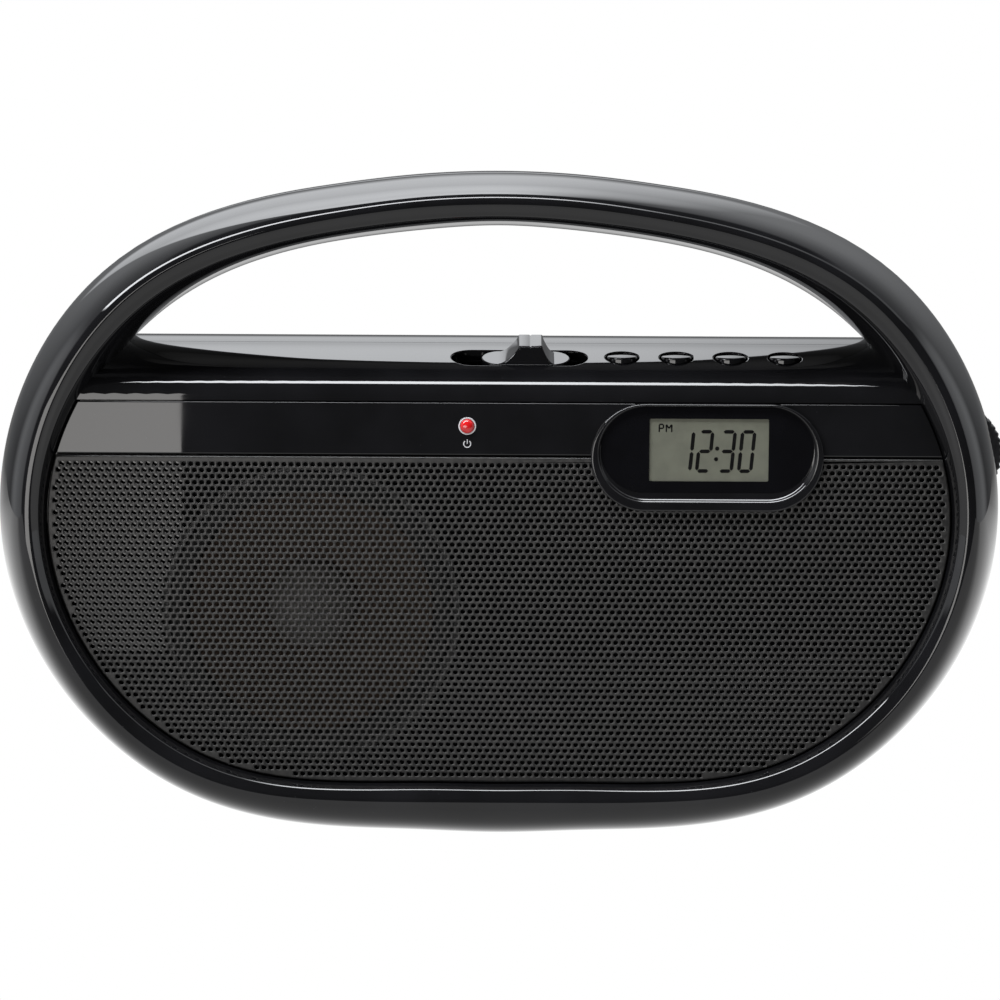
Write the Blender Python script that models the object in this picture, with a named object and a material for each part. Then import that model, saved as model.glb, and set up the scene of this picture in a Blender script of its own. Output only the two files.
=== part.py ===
"""Portable radio with an oval hoop handle, as an assembly of separate closed solids.

Lengths below are in millimetres. While a piece is drawn, x runs to the right, y runs back from the front
crest of the hoop, and z runs up from the centre of the hoop. place() moves a finished piece to the row
frame, in metres: there the floor is z = 0, and x = y = 0 is the middle of the body.
"""

import math

import bmesh
import bpy
import numpy as np

AROUND = 48

# The hoop is drawn by closed contours round its centre. Each list gives half of one, from the top (12
# o'clock) to the bottom (6 o'clock) every 15 degrees, as distances from the centre.
GIRTH = [75.7, 77.5, 83.4, 94.6, 108.0, 117.5, 122.4, 122.3, 117.1, 108.4, 97.2, 88.4, 86.1]
FRONT_CREST = [70.7, 72.4, 77.6, 87.5, 99.4, 107.7, 112.1, 111.7, 106.9, 97.4, 84.6, 76.3, 73.7]
FRONT_INNER = [68.6, 70.2, 75.4, 85.1, 97.3, 106.1, 110.6, 109.9, 104.4, 94.9, 82.3, 73.8, 71.4]
GRIP = [63.8, 65.0, 69.9, 79.0, 90.3, 100.5, 108.0, 108.3, 103.4, 94.2, 81.9, 73.6, 71.2]
REAR_CREST = [69.5, 71.0, 76.0, 86.0, 98.0, 106.5, 110.5, 110.0, 104.5, 95.5, 83.5, 76.0, 74.0]
REAR_INNER = [67.5, 69.0, 74.0, 84.0, 96.0, 104.5, 108.5, 108.0, 102.5, 93.5, 81.5, 74.0, 72.0]

DEPTH = 62.0
MIDDLE_Y = 31.0
PARTING_Y = 32.0
BEVEL_Y = 1.5
WALL = 2.4
FACE_Y = 7.0
SEAT_Y = 9.3
UNDERSIDE_Z = -84.9
FLOOR_Z = -85.2
PANEL_TOP_Z = 22.8
PANEL_SPLIT_Z = 9.75
GAP = 0.3

# Side view of the top deck, (y, z) from the front strip's top edge over the shoulder to the back.
DECK = [
    (7.0, 22.8), (7.0, 24.2), (7.35, 25.7), (8.2, 27.1), (9.5, 28.3), (11.5, 29.6), (14.0, 30.6),
    (18.0, 31.7), (22.0, 32.6), (26.0, 33.3), (32.0, 33.9), (40.0, 34.1), (47.0, 33.9), (52.0, 33.0),
    (56.0, 31.0), (59.0, 28.0), (61.0, 24.0), (62.0, 18.5),
]  # fmt: skip

KEY_X = [29.7, 42.85, 56.0, 69.15]
KEY_Y, KEY_R, KEY_HOLE_R = 19.5, 3.75, 4.1
SLOT_X = (-11.7, 21.3)
SLOT_Y = (14.2, 24.2)
LEVER_X = (-4.4, 17.0)
LEVER_CLEARANCE = 0.45
BEZEL_X, BEZEL_Z, BEZEL_W, BEZEL_H = 50.05, 9.5, 56.0, 26.2
WINDOW_Z, WINDOW_W, WINDOW_H = 11.3, 51.2, 20.6
LCD_X, LCD_Z = 50.4, 11.3
LED_X, LED_Z = -7.7, 16.8
SPEAKER = (-45.5, 0.0, -29.6)
SPEAKER_R = 36.2
WHEEL_Z = 6.4
# name: (x of the axis, radius, span in y)
WHEELS = {"tuning": (112.4, 12.2, (35.5, 41.5)), "volume": (107.6, 11.6, (46.5, 52.5))}
SHAFT_R = 1.95
SHAFT_HOLE_R = 2.03
BAY_X = (4.0, 64.0)
BAY_Z = (-58.0, -4.0)
BAY_FLOOR_Y = 44.0
DOOR_X = (2.4, 65.6)
DOOR_Z = (-60.4, -1.6)
DOOR_Y = (59.8, 62.0)
INLET_X, INLET_Z = -57.0, -42.0
JACK_X, JACK_Z = -84.0, 2.0
GROOVE_X = (-130.0, 85.0)
GROOVE_Z = 21.5
ANTENNA_Y = 59.2
FOLD_X = 71.0
SCREWS = [(-72.0, 9.0), (-91.0, -6.0), (-74.5, -59.5), (80.0, -54.0), (92.0, -12.0), (84.0, 9.0)]
FEET = [(-34.0, 27.5), (34.0, 27.5), (-34.0, 46.0), (34.0, 46.0)]
FOOT_R = 3.0

# name: (base colour, roughness, metallic)
MATERIALS = {
    "gloss_black": ((0.010, 0.010, 0.012), 0.08, 0.0),
    "satin_black": ((0.014, 0.014, 0.015), 0.35, 0.0),
    "grille_black": ((0.020, 0.020, 0.020), 0.45, 0.6),
    "window": ((0.006, 0.006, 0.007), 0.04, 0.0),
    "lcd": ((0.30, 0.31, 0.27), 0.30, 0.0),
    "red_lens": ((0.60, 0.02, 0.02), 0.20, 0.0),
    "rubber": ((0.015, 0.015, 0.015), 0.80, 0.0),
    "steel": ((0.45, 0.45, 0.46), 0.35, 1.0),
    "chrome": ((0.75, 0.75, 0.77), 0.08, 1.0),
    "board": ((0.06, 0.16, 0.07), 0.45, 0.0),
    "ferrite": ((0.05, 0.05, 0.055), 0.60, 0.0),
    "paper": ((0.025, 0.025, 0.025), 0.90, 0.0),
}


# ---------------------------------------------------------------- contours of the hoop


def spline(half, angles):
    """Distance from the centre at each angle, by a periodic cubic spline through the mirrored stations."""
    stations = np.zeros(24)
    for k, value in enumerate(half):
        stations[(6 + k) % 24] = value
        stations[(6 - k) % 24] = value
    n = len(stations)
    system = 4 * np.eye(n) + np.roll(np.eye(n), 1, axis=0) + np.roll(np.eye(n), -1, axis=0)
    bend = np.linalg.solve(system, 6 * (np.roll(stations, -1) - 2 * stations + np.roll(stations, 1)))
    spot = np.degrees(angles) / 15.0
    low = np.floor(spot + 1e-9).astype(int)
    f = spot - low
    i, j = low % n, (low + 1) % n
    curve = ((1 - f) ** 3 - (1 - f)) * bend[i] / 6 + (f**3 - f) * bend[j] / 6
    return stations[i] * (1 - f) + stations[j] * f + curve


ANGLES = np.radians(np.arange(AROUND) * 360.0 / AROUND)
R_GIRTH = spline(GIRTH, ANGLES)
R_CREST = spline(FRONT_CREST, ANGLES)
R_INNER = spline(FRONT_INNER, ANGLES)
R_GRIP = spline(GRIP, ANGLES)
R_REAR = spline(REAR_CREST, ANGLES)
R_REAR_IN = spline(REAR_INNER, ANGLES)


def outer(y):
    """Outer surface of the hoop at depth y: an elliptical roll on each side of the parting line."""
    if y <= PARTING_Y:
        cos_t = 1 - y / PARTING_Y
        return R_CREST + (R_GIRTH - R_CREST) * math.sqrt(1 - cos_t**2)
    cos_t = (y - PARTING_Y) / (DEPTH - PARTING_Y)
    return R_REAR + (R_GIRTH - R_REAR) * math.sqrt(max(0.0, 1 - cos_t**2))


def inner(y):
    """Inner surface of the hoop at depth y, which bulges inwards to make the grip of the handle."""
    near, far = 28.0, 36.0
    if y < BEVEL_Y:
        return R_CREST + (R_INNER - R_CREST) * (y / BEVEL_Y)
    if y < near:
        cos_t = 1 - (y - BEVEL_Y) / (near - BEVEL_Y)
        return R_INNER + (R_GRIP - R_INNER) * math.sqrt(1 - cos_t**2)
    if y <= far:
        return R_GRIP
    if y <= DEPTH - BEVEL_Y:
        cos_t = 1 - (DEPTH - BEVEL_Y - y) / (DEPTH - BEVEL_Y - far)
        return R_REAR_IN + (R_GRIP - R_REAR_IN) * math.sqrt(max(0.0, 1 - cos_t**2))
    return R_REAR_IN + (R_REAR - R_REAR_IN) * ((y - DEPTH + BEVEL_Y) / BEVEL_Y)


def ring(radii, y):
    x = radii * np.cos(ANGLES)
    z = radii * np.sin(ANGLES)
    return np.stack([x, np.full(len(x), float(y)), z], axis=1)


# ---------------------------------------------------------------- mesh helpers


def finish(bm, name):
    """Object from a mesh under construction, with doubles merged and its faces pointing out."""
    bmesh.ops.remove_doubles(bm, verts=bm.verts, dist=1e-5)
    bmesh.ops.recalc_face_normals(bm, faces=bm.faces)
    if bm.calc_volume(signed=True) < 0:
        bmesh.ops.reverse_faces(bm, faces=bm.faces)
    mesh = bpy.data.meshes.new(name)
    bm.to_mesh(mesh)
    bm.free()
    obj = bpy.data.objects.new(name, mesh)
    bpy.context.scene.collection.objects.link(obj)
    return obj


def loft(loops, name="loft", cyclic=False):
    """Solid through loops with equal point counts: capped at both ends, or joined end to end if cyclic."""
    bm = bmesh.new()
    rows = [[bm.verts.new(tuple(p)) for p in loop] for loop in loops]
    count = len(rows[0])
    pairs = list(zip(rows, rows[1:]))
    if cyclic:
        pairs.append((rows[-1], rows[0]))
    for a, b in pairs:
        for i in range(count):
            j = (i + 1) % count
            bm.faces.new((a[i], a[j], b[j], b[i]))
    if not cyclic:
        bm.faces.new(rows[0])
        bm.faces.new(rows[-1][::-1])
    return finish(bm, name)


def box(x, y, z):
    loops = [[(x[0], v, z[0]), (x[1], v, z[0]), (x[1], v, z[1]), (x[0], v, z[1])] for v in y]
    return loft(loops, "box")


def prism_x(profile, x):
    """Extrusion along x of a (y, z) polygon."""
    return loft([[(v, p[0], p[1]) for p in profile] for v in x], "prism")


def prism_y(profile, y):
    """Extrusion along y of an (x, z) polygon."""
    return loft([[(p[0], v, p[1]) for p in profile] for v in y], "prism")


def circle(radius, count):
    turn = [2 * math.pi * (k + 0.5) / count for k in range(count)]
    return [(radius * math.cos(a), radius * math.sin(a)) for a in turn]


def revolve(profile, centre, axis, count, closed=False):
    """Turns (radius, position) points round an axis. A closed profile makes a ring, an open one is capped."""
    loops = []
    for radius, spot in profile:
        loop = []
        for u, v in circle(radius, count):
            if axis == "x":
                loop.append((spot, centre[1] + u, centre[2] + v))
            elif axis == "y":
                loop.append((centre[0] + u, spot, centre[2] + v))
            else:
                loop.append((centre[0] + u, centre[1] + v, spot))
        loops.append(loop)
    return loft(loops, "turned", cyclic=closed)


def cylinder(centre, axis, span, radius, count=16):
    """Cylinder along one axis between the two span values, or a cone if radius is a pair."""
    radii = radius if isinstance(radius, tuple) else (radius, radius)
    return revolve(list(zip(radii, span)), centre, axis, count)


def stadium(centre, width, height, count=10):
    """Outline in a plane with two full round ends."""
    r = height / 2
    half = width / 2 - r
    points = []
    for side in (1, -1):
        for k in range(count + 1):
            a = math.pi * (k / count - 0.5)
            points.append((centre[0] + side * (half + r * math.cos(a)), centre[1] + side * r * math.sin(a)))
    return points


def combine(base, tools, operation):
    """Applies one exact Boolean per tool and removes the tools."""
    for tool in tools:
        modifier = base.modifiers.new(operation, "BOOLEAN")
        modifier.operation = operation
        modifier.solver = "EXACT"
        modifier.object = tool
        bpy.context.view_layer.update()
        graph = bpy.context.evaluated_depsgraph_get()
        mesh = bpy.data.meshes.new_from_object(base.evaluated_get(graph))
        base.modifiers.clear()
        base.data = mesh
        bpy.data.objects.remove(tool)
    return base


def cut(base, *tools):
    return combine(base, tools, "DIFFERENCE")


def join(base, *tools):
    return combine(base, tools, "UNION")


def keep(base, *tools):
    return combine(base, tools, "INTERSECT")


# ---------------------------------------------------------------- placing and materials


def material(name):
    """Principled material of that name, made the first time it is asked for."""
    found = bpy.data.materials.get(name)
    if found:
        return found
    colour, roughness, metallic = MATERIALS[name]
    made = bpy.data.materials.new(name)
    made.use_nodes = True
    shader = made.node_tree.nodes["Principled BSDF"]
    shader.inputs["Base Color"].default_value = (*colour, 1.0)
    shader.inputs["Roughness"].default_value = roughness
    shader.inputs["Metallic"].default_value = metallic
    return made


def row_point(point):
    """A drawing point, in the row frame and in metres."""
    return np.array([point[0], point[1] - MIDDLE_Y, point[2] - FLOOR_Z]) / 1000


def place(obj, name, look, pivot=None, parent="radio"):
    """Finishes a piece: name, material, smooth shading, parent, and its origin on its pivot or centre."""
    bm = bmesh.new()
    bm.from_mesh(obj.data)
    points = np.array([tuple(vert.co) for vert in bm.verts])
    if pivot is None:
        pivot = (points.min(axis=0) + points.max(axis=0)) / 2
    origin = row_point(pivot)
    for vert, point in zip(bm.verts, points):
        vert.co = row_point(point) - origin
    bmesh.ops.remove_doubles(bm, verts=bm.verts, dist=2e-6)
    bmesh.ops.dissolve_degenerate(bm, edges=bm.edges, dist=1e-6)
    bmesh.ops.triangulate(bm, faces=bm.faces)
    bm.to_mesh(obj.data)
    bm.free()
    obj.data.materials.clear()
    obj.data.materials.append(material(look))
    obj.data.shade_smooth()
    obj.data.set_sharp_from_angle(angle=math.radians(30))
    obj.name = name
    obj.data.name = name
    bpy.context.view_layer.update()
    obj.parent = bpy.data.objects[parent]
    obj.location = origin - np.array(obj.parent.matrix_world.translation)
    bpy.context.view_layer.update()
    return obj


# ---------------------------------------------------------------- side view of the deck


def deck_offset(distance):
    """The deck profile moved towards the inside by a distance."""
    points = np.array(DECK)
    along = np.gradient(points, axis=0)
    along /= np.linalg.norm(along, axis=1)[:, None]
    return points + distance * np.stack([along[:, 1], -along[:, 0]], axis=1)


def deck_z(y, distance=0.0):
    """Height of the deck at depth y, or of the same surface moved in by a distance."""
    points = deck_offset(distance)
    return float(np.interp(y, points[:, 0], points[:, 1]))


def deck_between(y_low, y_high, distance=0.0):
    """Outline points of the deck between two depths, with both ends."""
    middle = [tuple(p) for p in deck_offset(distance) if y_low < p[0] < y_high]
    return [(y_low, deck_z(y_low, distance)), *middle, (y_high, deck_z(y_high, distance))]


def above_deck():
    """Prism of everything above the deck, through the whole depth."""
    outline = [(-9.0, DECK[0][1]), *DECK, (72.0, DECK[-1][1]), (72.0, 110.0), (-9.0, 110.0)]
    return prism_x(outline, (-140.0, 140.0))


# ---------------------------------------------------------------- cabinet halves


def front_cabinet():
    """Front half: the rolled hoop, the stepped face inside it and the front of the deck, all hollow."""
    join_y = PARTING_Y + 2.0
    roll = [0.0, 0.25, 1.0, 2.4, 4.5, 7.4, 11.0, 15.5, 20.5, 26.0, PARTING_Y]
    bore = [BEVEL_Y, 2.2, 3.6, 5.5, 7.8, 11.0, 15.0, 20.0, 28.0]
    loops = [ring(outer(PARTING_Y), join_y), *(ring(outer(y), y) for y in roll[::-1])]
    loops += [*(ring(inner(y), y) for y in bore), ring(inner(join_y), join_y)]
    cabinet = loft(loops, "front", cyclic=True)
    body = loft([ring(inner(y) + 3.0, y) for y in (6.0, 7.8, 11.0, 15.0, 20.0, 28.0, join_y)])
    face = [(join_y, -100.0), (SEAT_Y, -100.0), (SEAT_Y, PANEL_TOP_Z)]
    keep(body, prism_x([*DECK[:1], *deck_between(FACE_Y + 1e-3, join_y), *face], (-140.0, 140.0)))
    join(cabinet, body)
    return cut(cabinet, front_hollow(join_y + 2.0))


def front_hollow(end_y):
    """Space inside the front half: round the hoop, and behind the face under the deck."""
    depths = [5.0, 7.4, 11.0, 15.5, 20.5, 26.0, PARTING_Y]
    loops = [ring(outer(PARTING_Y) - WALL, end_y), *(ring(outer(y) - WALL, y) for y in depths[::-1])]
    loops += [*(ring(inner(y) + WALL, y) for y in depths), ring(inner(PARTING_Y) + WALL, end_y)]
    hollow = loft(loops, "hollow", cyclic=True)
    room = loft([ring(inner(y) + WALL + 1.0, y) for y in (11.0, 15.0, 20.0, 28.0, end_y)])
    front_y = SEAT_Y + WALL
    outline = [*deck_between(front_y, end_y, WALL), (end_y, -100.0), (front_y, -100.0)]
    keep(room, prism_x(outline, (-140.0, 140.0)))
    return join(hollow, room)


def front_openings(cabinet):
    """Speaker opening, display window, light hole, lever slot, key holes and screw bosses."""
    cut(
        cabinet,
        cylinder(SPEAKER, "y", (5.0, 14.0), SPEAKER_R, 36),
        box((LCD_X - 19.0, LCD_X + 19.0), (5.0, 14.0), (LCD_Z - 11.0, LCD_Z + 10.6)),
        cylinder((LED_X, 0, LED_Z), "y", (5.0, 14.0), 2.2),
    )
    slot = stadium((sum(SLOT_X) / 2, sum(SLOT_Y) / 2), SLOT_X[1] - SLOT_X[0], SLOT_Y[1] - SLOT_Y[0], 6)
    cut(cabinet, loft([[(x, y, z) for x, y in slot] for z in (24.0, 40.0)]))
    for x in KEY_X:
        cut(cabinet, cylinder((x, KEY_Y, 0), "z", (24.0, 40.0), KEY_HOLE_R))
    for x, z in SCREWS:
        join(cabinet, cylinder((x, 0, z), "y", (10.6, 31.0), 3.6, 12))
        cut(cabinet, cylinder((x, 0, z), "y", (16.0, 40.0), 1.75, 12))
    cut(cabinet, underside())
    return cut(cabinet, box((-150, 150), (PARTING_Y - 0.05, 60.0), (-120, 120)))


def rear_cabinet():
    """Rear half: hollow shell with a flat back, with blocks inside for the groove and the battery bay."""
    roll = [PARTING_Y, 37.0, 42.0, 47.0, 51.5, 55.5, 58.5, 60.5, 61.6, DEPTH]
    shell = loft([ring(outer(PARTING_Y), PARTING_Y - 2.0), *(ring(outer(y), y) for y in roll)])
    cut(shell, rear_hollow(PARTING_Y - 4.0))
    x, y, z = FOLD_X, (ANTENNA_Y - 6.0, 60.4), GROOVE_Z
    blocks = box((GROOVE_X[0], GROOVE_X[1] + 2.2), y, (z - 6.4, z + 6.2))
    join(blocks, box((x - 7.0, x + 7.0), y, (z - 14.0, z + 5.0)))
    join(blocks, box((BAY_X[0] - 2, BAY_X[1] + 2), (BAY_FLOOR_Y - 2, 60.4), (BAY_Z[0] - 2, BAY_Z[1] + 2)))
    keep(blocks, loft([ring(outer(y) - 0.8, y) for y in (40.0, 47.0, 52.0, 56.0, 59.0, 61.0)]))
    join(shell, blocks)
    through = [24.0, 28.0, 36.0, 42.0, 48.0, 53.0, 57.0, 59.5, 60.5, DEPTH, DEPTH + 4.0]
    gap = loft([ring(inner(y), y) for y in through])
    return cut(shell, keep(gap, above_deck()))


def rear_hollow(end_y):
    """Space inside the rear half: round the hoop, and in front of the back under the deck."""
    depths = [36.0, 42.0, 47.0, 51.5, 55.0]
    loops = [ring(outer(PARTING_Y) - WALL, end_y), *(ring(outer(y) - WALL, y) for y in depths)]
    loops += [*(ring(inner(y) + WALL, y) for y in depths[::-1]), ring(inner(PARTING_Y) + WALL, end_y)]
    hollow = loft(loops, "hollow", cyclic=True)
    back_y = DEPTH - WALL - 0.2
    room = loft([ring(inner(y) + WALL + 1.0, y) for y in (end_y, 36.0, 42.0, 48.0, 54.0, back_y)])
    outline = [*deck_between(end_y, 58.6, WALL), (back_y, 22.0), (back_y, -100.0), (end_y, -100.0)]
    keep(room, prism_x(outline, (-140.0, 140.0)))
    return join(hollow, room)


def rear_openings(cabinet):
    """Antenna groove, battery bay, wheel slots, sockets, vents and screw tubes of the rear half."""
    top, low = GROOVE_Z + 4.0, GROOVE_Z - 4.1
    floor_y = ANTENNA_Y - 3.8
    swing = [(floor_y, low), (DEPTH + 0.5, low - 8.9), (DEPTH + 0.5, top + 9.0), (floor_y, top)]
    cut(
        cabinet,
        box(GROOVE_X, (floor_y, 70.0), (low, top)),
        prism_x(swing, (FOLD_X - 4.4, FOLD_X + 4.4)),
        box(BAY_X, (BAY_FLOOR_Y, 70.0), BAY_Z),
        box((DOOR_X[0] - GAP, DOOR_X[1] + GAP), (59.5, 70.0), (DOOR_Z[0] - GAP, DOOR_Z[1] + GAP)),
        box((30.0, 38.0), (59.0, 70.0), (DOOR_Z[0] - 4.5, DOOR_Z[0] + 1.0)),
        box((INLET_X - 7.0, INLET_X + 7.0), (50.0, 70.0), (INLET_Z - 4.3, INLET_Z + 4.3)),
        cylinder((JACK_X, 0, JACK_Z), "y", (50.0, 70.0), 3.2),
    )
    for _, radius, span in WHEELS.values():
        height = (WHEEL_Z - radius - 1.0, WHEEL_Z + radius + 1.0)
        cut(cabinet, box((98.0, 130.0), (span[0] - 0.5, span[1] + 0.5), height))
    for row in range(5):
        cut(cabinet, box((-62.0, -26.0), (56.0, 70.0), (-24.0 + 6.0 * row, -22.2 + 6.0 * row)))
    for x, z in SCREWS:
        join(cabinet, cylinder((x, 0, z), "y", (32.6, 60.2), 4.6, 12))
        cut(cabinet, cylinder((x, 0, z), "y", (38.0, 70.0), 3.4, 12))
        cut(cabinet, cylinder((x, 0, z), "y", (30.0, 40.0), 1.9, 12))
    cut(cabinet, underside())
    return cut(cabinet, box((-150, 150), (0.0, PARTING_Y + 0.05), (-120, 120)))


def underside():
    """Everything below the flat of the underside."""
    return box((-60.0, 60.0), (-5.0, 70.0), (-110.0, UNDERSIDE_Z))


def foot_seat(x, y):
    """Height of a foot's flat seat, a little inside the curved underside."""
    radii = outer(y)
    below = ANGLES > math.pi
    px = (radii * np.cos(ANGLES))[below]
    pz = (radii * np.sin(ANGLES))[below]
    order = np.argsort(px)
    return float(np.interp(abs(x) + FOOT_R, px[order], pz[order])) + 0.5


def feet(front, rear):
    """Rubber pads let into the underside, all down to one plane."""
    for index, (x, y) in enumerate(FEET):
        seat = foot_seat(x, y)
        cut(front if y < PARTING_Y else rear, cylinder((x, y, 0), "z", (-95.0, seat), FOOT_R + GAP))
        pad = cylinder((x, y, 0), "z", (FLOOR_Z, seat - 0.05), (FOOT_R - 0.2, FOOT_R))
        place(pad, f"foot_{index + 1}", "rubber")


# ---------------------------------------------------------------- front face


def face_plate(gap):
    """Plate that fills the recess, with a gap to its wall and to its floor."""
    return loft([ring(inner(y) - gap, y) for y in (FACE_Y, SEAT_Y - GAP)])


def bezel_hole():
    """Cutter that leaves room for the bezel's body in the plates round it."""
    return prism_y(stadium((BEZEL_X, BEZEL_Z), BEZEL_W - 0.6, BEZEL_H - 0.6), (5.0, 12.0))


def front_panel():
    plate = face_plate(0.35)
    keep(plate, box((-130, 130), (0.0, 20.0), (PANEL_SPLIT_Z, PANEL_TOP_Z - 0.35)))
    cut(plate, bezel_hole(), cylinder((LED_X, 0, LED_Z), "y", (5.0, 14.0), 2.2))
    place(plate, "front_panel", "gloss_black")


def speaker_grille():
    """Pressed sheet with a folded rim. Its perforation is part of its surface."""
    plate = face_plate(0.45)
    keep(plate, box((-130, 130), (0.0, 20.0), (-100.0, PANEL_SPLIT_Z - 0.5)))
    pocket = loft([ring(inner(FACE_Y) - 1.5, y) for y in (7.8, 12.0)])
    keep(pocket, box((-130, 130), (0.0, 20.0), (-100.0, PANEL_SPLIT_Z - 1.4)))
    cut(plate, pocket, bezel_hole())
    place(plate, "speaker_grille", "grille_black")


def display():
    """Oval bezel with a dark window, the clock's glass behind it and its board."""
    bezel = prism_y(stadium((BEZEL_X, BEZEL_Z), BEZEL_W, BEZEL_H), (5.6, 6.7))
    join(bezel, prism_y(stadium((BEZEL_X, BEZEL_Z), BEZEL_W - 1.2, BEZEL_H - 1.2), (6.2, 9.0)))
    middle = (BEZEL_X, WINDOW_Z)
    cut(
        bezel,
        prism_y(stadium(middle, WINDOW_W + 0.3, WINDOW_H + 0.3), (4.0, 7.9)),
        prism_y(stadium(middle, WINDOW_W - 2.0, WINDOW_H - 2.0), (4.0, 12.0)),
    )
    place(bezel, "display_bezel", "gloss_black")
    place(prism_y(stadium(middle, WINDOW_W, WINDOW_H), (6.3, 7.8)), "display_lens", "window")
    glass = box((LCD_X - 18.0, LCD_X + 18.0), (9.5, 12.3), (LCD_Z - 10.4, LCD_Z + 9.9))
    place(glass, "lcd_module", "lcd")
    place(box((24.0, 78.0), (12.7, 14.2), (-4.0, 23.6)), "display_board", "board")


def power_light():
    body = [(2.0, 12.4), (2.0, 10.6), (1.7, 10.6), (1.7, 7.2), (1.55, 6.6), (1.1, 6.1), (0.45, 5.85)]
    place(revolve(body, (LED_X, 0, LED_Z), "y", 16), "power_light", "red_lens")


# ---------------------------------------------------------------- deck controls


def keys():
    """Four domed keys on short stems, each over its own tact switch."""
    top = deck_z(KEY_Y) + 0.55
    stem = [(3.0, 24.4), (3.0, 28.4), (KEY_R, 28.4)]
    dome = [(KEY_R, top - 0.9), (3.35, top - 0.35), (2.2, top - 0.08), (0.6, top)]
    for index, x in enumerate(KEY_X):
        cap = revolve(stem + dome, (x, KEY_Y, 0), "z", 16)
        place(cap, f"key_{index + 1}", "gloss_black", pivot=(x, KEY_Y, 24.4))
        switch = box((x - 3.0, x + 3.0), (KEY_Y - 3.0, KEY_Y + 3.0), (19.3, 22.6))
        join(switch, cylinder((x, KEY_Y, 0), "z", (22.0, 23.4), 1.6, 12))
        place(switch, f"tact_switch_{index + 1}", "satin_black")
    place(box((-18.0, 78.0), (15.4, 30.6), (17.4, 19.0)), "key_board", "board")


def function_lever():
    """Lever plate that runs in the slot, with a ridge for the finger, and the switch that it moves."""
    y0, y1 = SLOT_Y[0] + LEVER_CLEARANCE, SLOT_Y[1] - LEVER_CLEARANCE
    rise = (deck_z(y1) - deck_z(y0)) / (y1 - y0)
    middle = (sum(LEVER_X) / 2, sum(SLOT_Y) / 2)

    def layer(outline, lift):
        return [(x, y, deck_z(y0) - 0.9 + rise * (y - y0) + lift) for x, y in outline]

    def bar(x_low, x_high, y_low, y_high):
        return [(x_low, y_low), (x_high, y_low), (x_high, y_high), (x_low, y_high)]

    plan = stadium(middle, LEVER_X[1] - LEVER_X[0], y1 - y0, 6)
    lever = loft([layer(plan, -1.9), layer(plan, 0.35)])
    foot = bar(0.6, 13.5, y0 + 0.6, y1 - 0.5)
    tip = bar(4.4, 10.4, y0 + 0.6, y1 - 0.5)
    ridge = loft([layer(foot, 0.1), layer(tip, 4.6)])
    join(lever, ridge, box((5.2, 9.6), (17.4, 20.6), (24.3, 30.4)))
    place(lever, "function_lever", "gloss_black", pivot=(7.4, 19.2, 24.3))
    place(box((4.9, 9.9), (17.2, 20.8), (22.7, 24.0)), "switch_slider", "steel", parent="function_lever")
    place(box((-10.0, 20.0), (15.8, 22.4), (19.3, 22.4)), "function_switch", "steel")


def thumbwheel(name):
    """Wheel with a grooved rim and a bore on its shaft."""
    x, radius, span = WHEELS[name]
    rim = []
    for k in range(48):
        a = 2 * math.pi * k / 48
        r = radius - (0.35 if k % 2 else 0.0)
        rim.append((x + r * math.cos(a), WHEEL_Z + r * math.sin(a)))
    wheel = prism_y(rim, span)
    cut(wheel, cylinder((x, 0, WHEEL_Z), "y", (span[0] - 1, span[1] + 1), SHAFT_HOLE_R))
    place(wheel, f"{name}_wheel", "satin_black", pivot=(x, sum(span) / 2, WHEEL_Z))


def wheel_control(name, body_x, body_y, shaft_start):
    """Body of a control in front of its wheel, with the shaft that the wheel turns on."""
    x, _, span = WHEELS[name]
    shaft = cylinder((x, 0, WHEEL_Z), "y", (shaft_start, span[1] - GAP), SHAFT_R)
    return join(shaft, box((x + body_x[0], x + body_x[1]), body_y, (WHEEL_Z - 8.0, WHEEL_Z + 8.0)))


def side_controls():
    thumbwheel("tuning")
    thumbwheel("volume")
    place(wheel_control("tuning", (-9.0, 4.0), (22.5, 34.3), 33.0), "tuning_capacitor", "satin_black")
    place(wheel_control("volume", (-14.0, 5.0), (42.6, 45.4), 44.0), "volume_control", "steel")


# ---------------------------------------------------------------- loudspeaker


def loudspeaker():
    """Basket, magnet, rolled surround, paper cone with its neck, and dust cap."""
    basket = [
        (37.6, 12.0), (37.6, 13.4), (34.6, 13.4), (33.6, 15.0), (19.0, 30.2),
        (12.2, 30.2), (12.2, 29.2), (18.4, 29.2), (32.4, 14.6), (34.9, 12.0),
    ]  # fmt: skip
    place(revolve(basket, SPEAKER, "y", 32, closed=True), "speaker_basket", "steel")
    magnet = [(21.0, 30.5), (22.0, 31.3), (22.0, 39.6), (21.0, 40.4)]
    place(revolve(magnet, SPEAKER, "y", 32), "speaker_magnet", "ferrite")
    surround = [
        (34.4, 11.9), (33.4, 11.2), (32.0, 10.9), (30.6, 11.2), (29.9, 12.1), (29.9, 12.6),
        (30.9, 11.8), (32.0, 11.5), (33.1, 11.8), (33.9, 12.5), (34.4, 12.5),
    ]  # fmt: skip
    place(revolve(surround, SPEAKER, "y", 32, closed=True), "speaker_surround", "rubber")
    cone = [(29.6, 12.4), (29.6, 13.0), (11.0, 23.6), (11.0, 27.4), (10.3, 27.4), (10.3, 23.1), (11.2, 22.6)]
    middle = (SPEAKER[0], 20.0, SPEAKER[2])
    place(revolve(cone, SPEAKER, "y", 32, closed=True), "speaker_cone", "paper", pivot=middle)
    front = [(11.0, 21.8), (10.3, 19.6), (8.4, 17.6), (5.6, 16.3), (2.2, 15.7), (0.4, 15.6)]
    back = [(0.4, 16.2), (2.1, 16.3), (5.3, 16.9), (7.9, 18.1), (9.7, 20.0), (10.4, 22.3)]
    cap = revolve(front + back, SPEAKER, "y", 24, closed=True)
    place(cap, "dust_cap", "paper", parent="speaker_cone")


# ---------------------------------------------------------------- electronics and power


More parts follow.
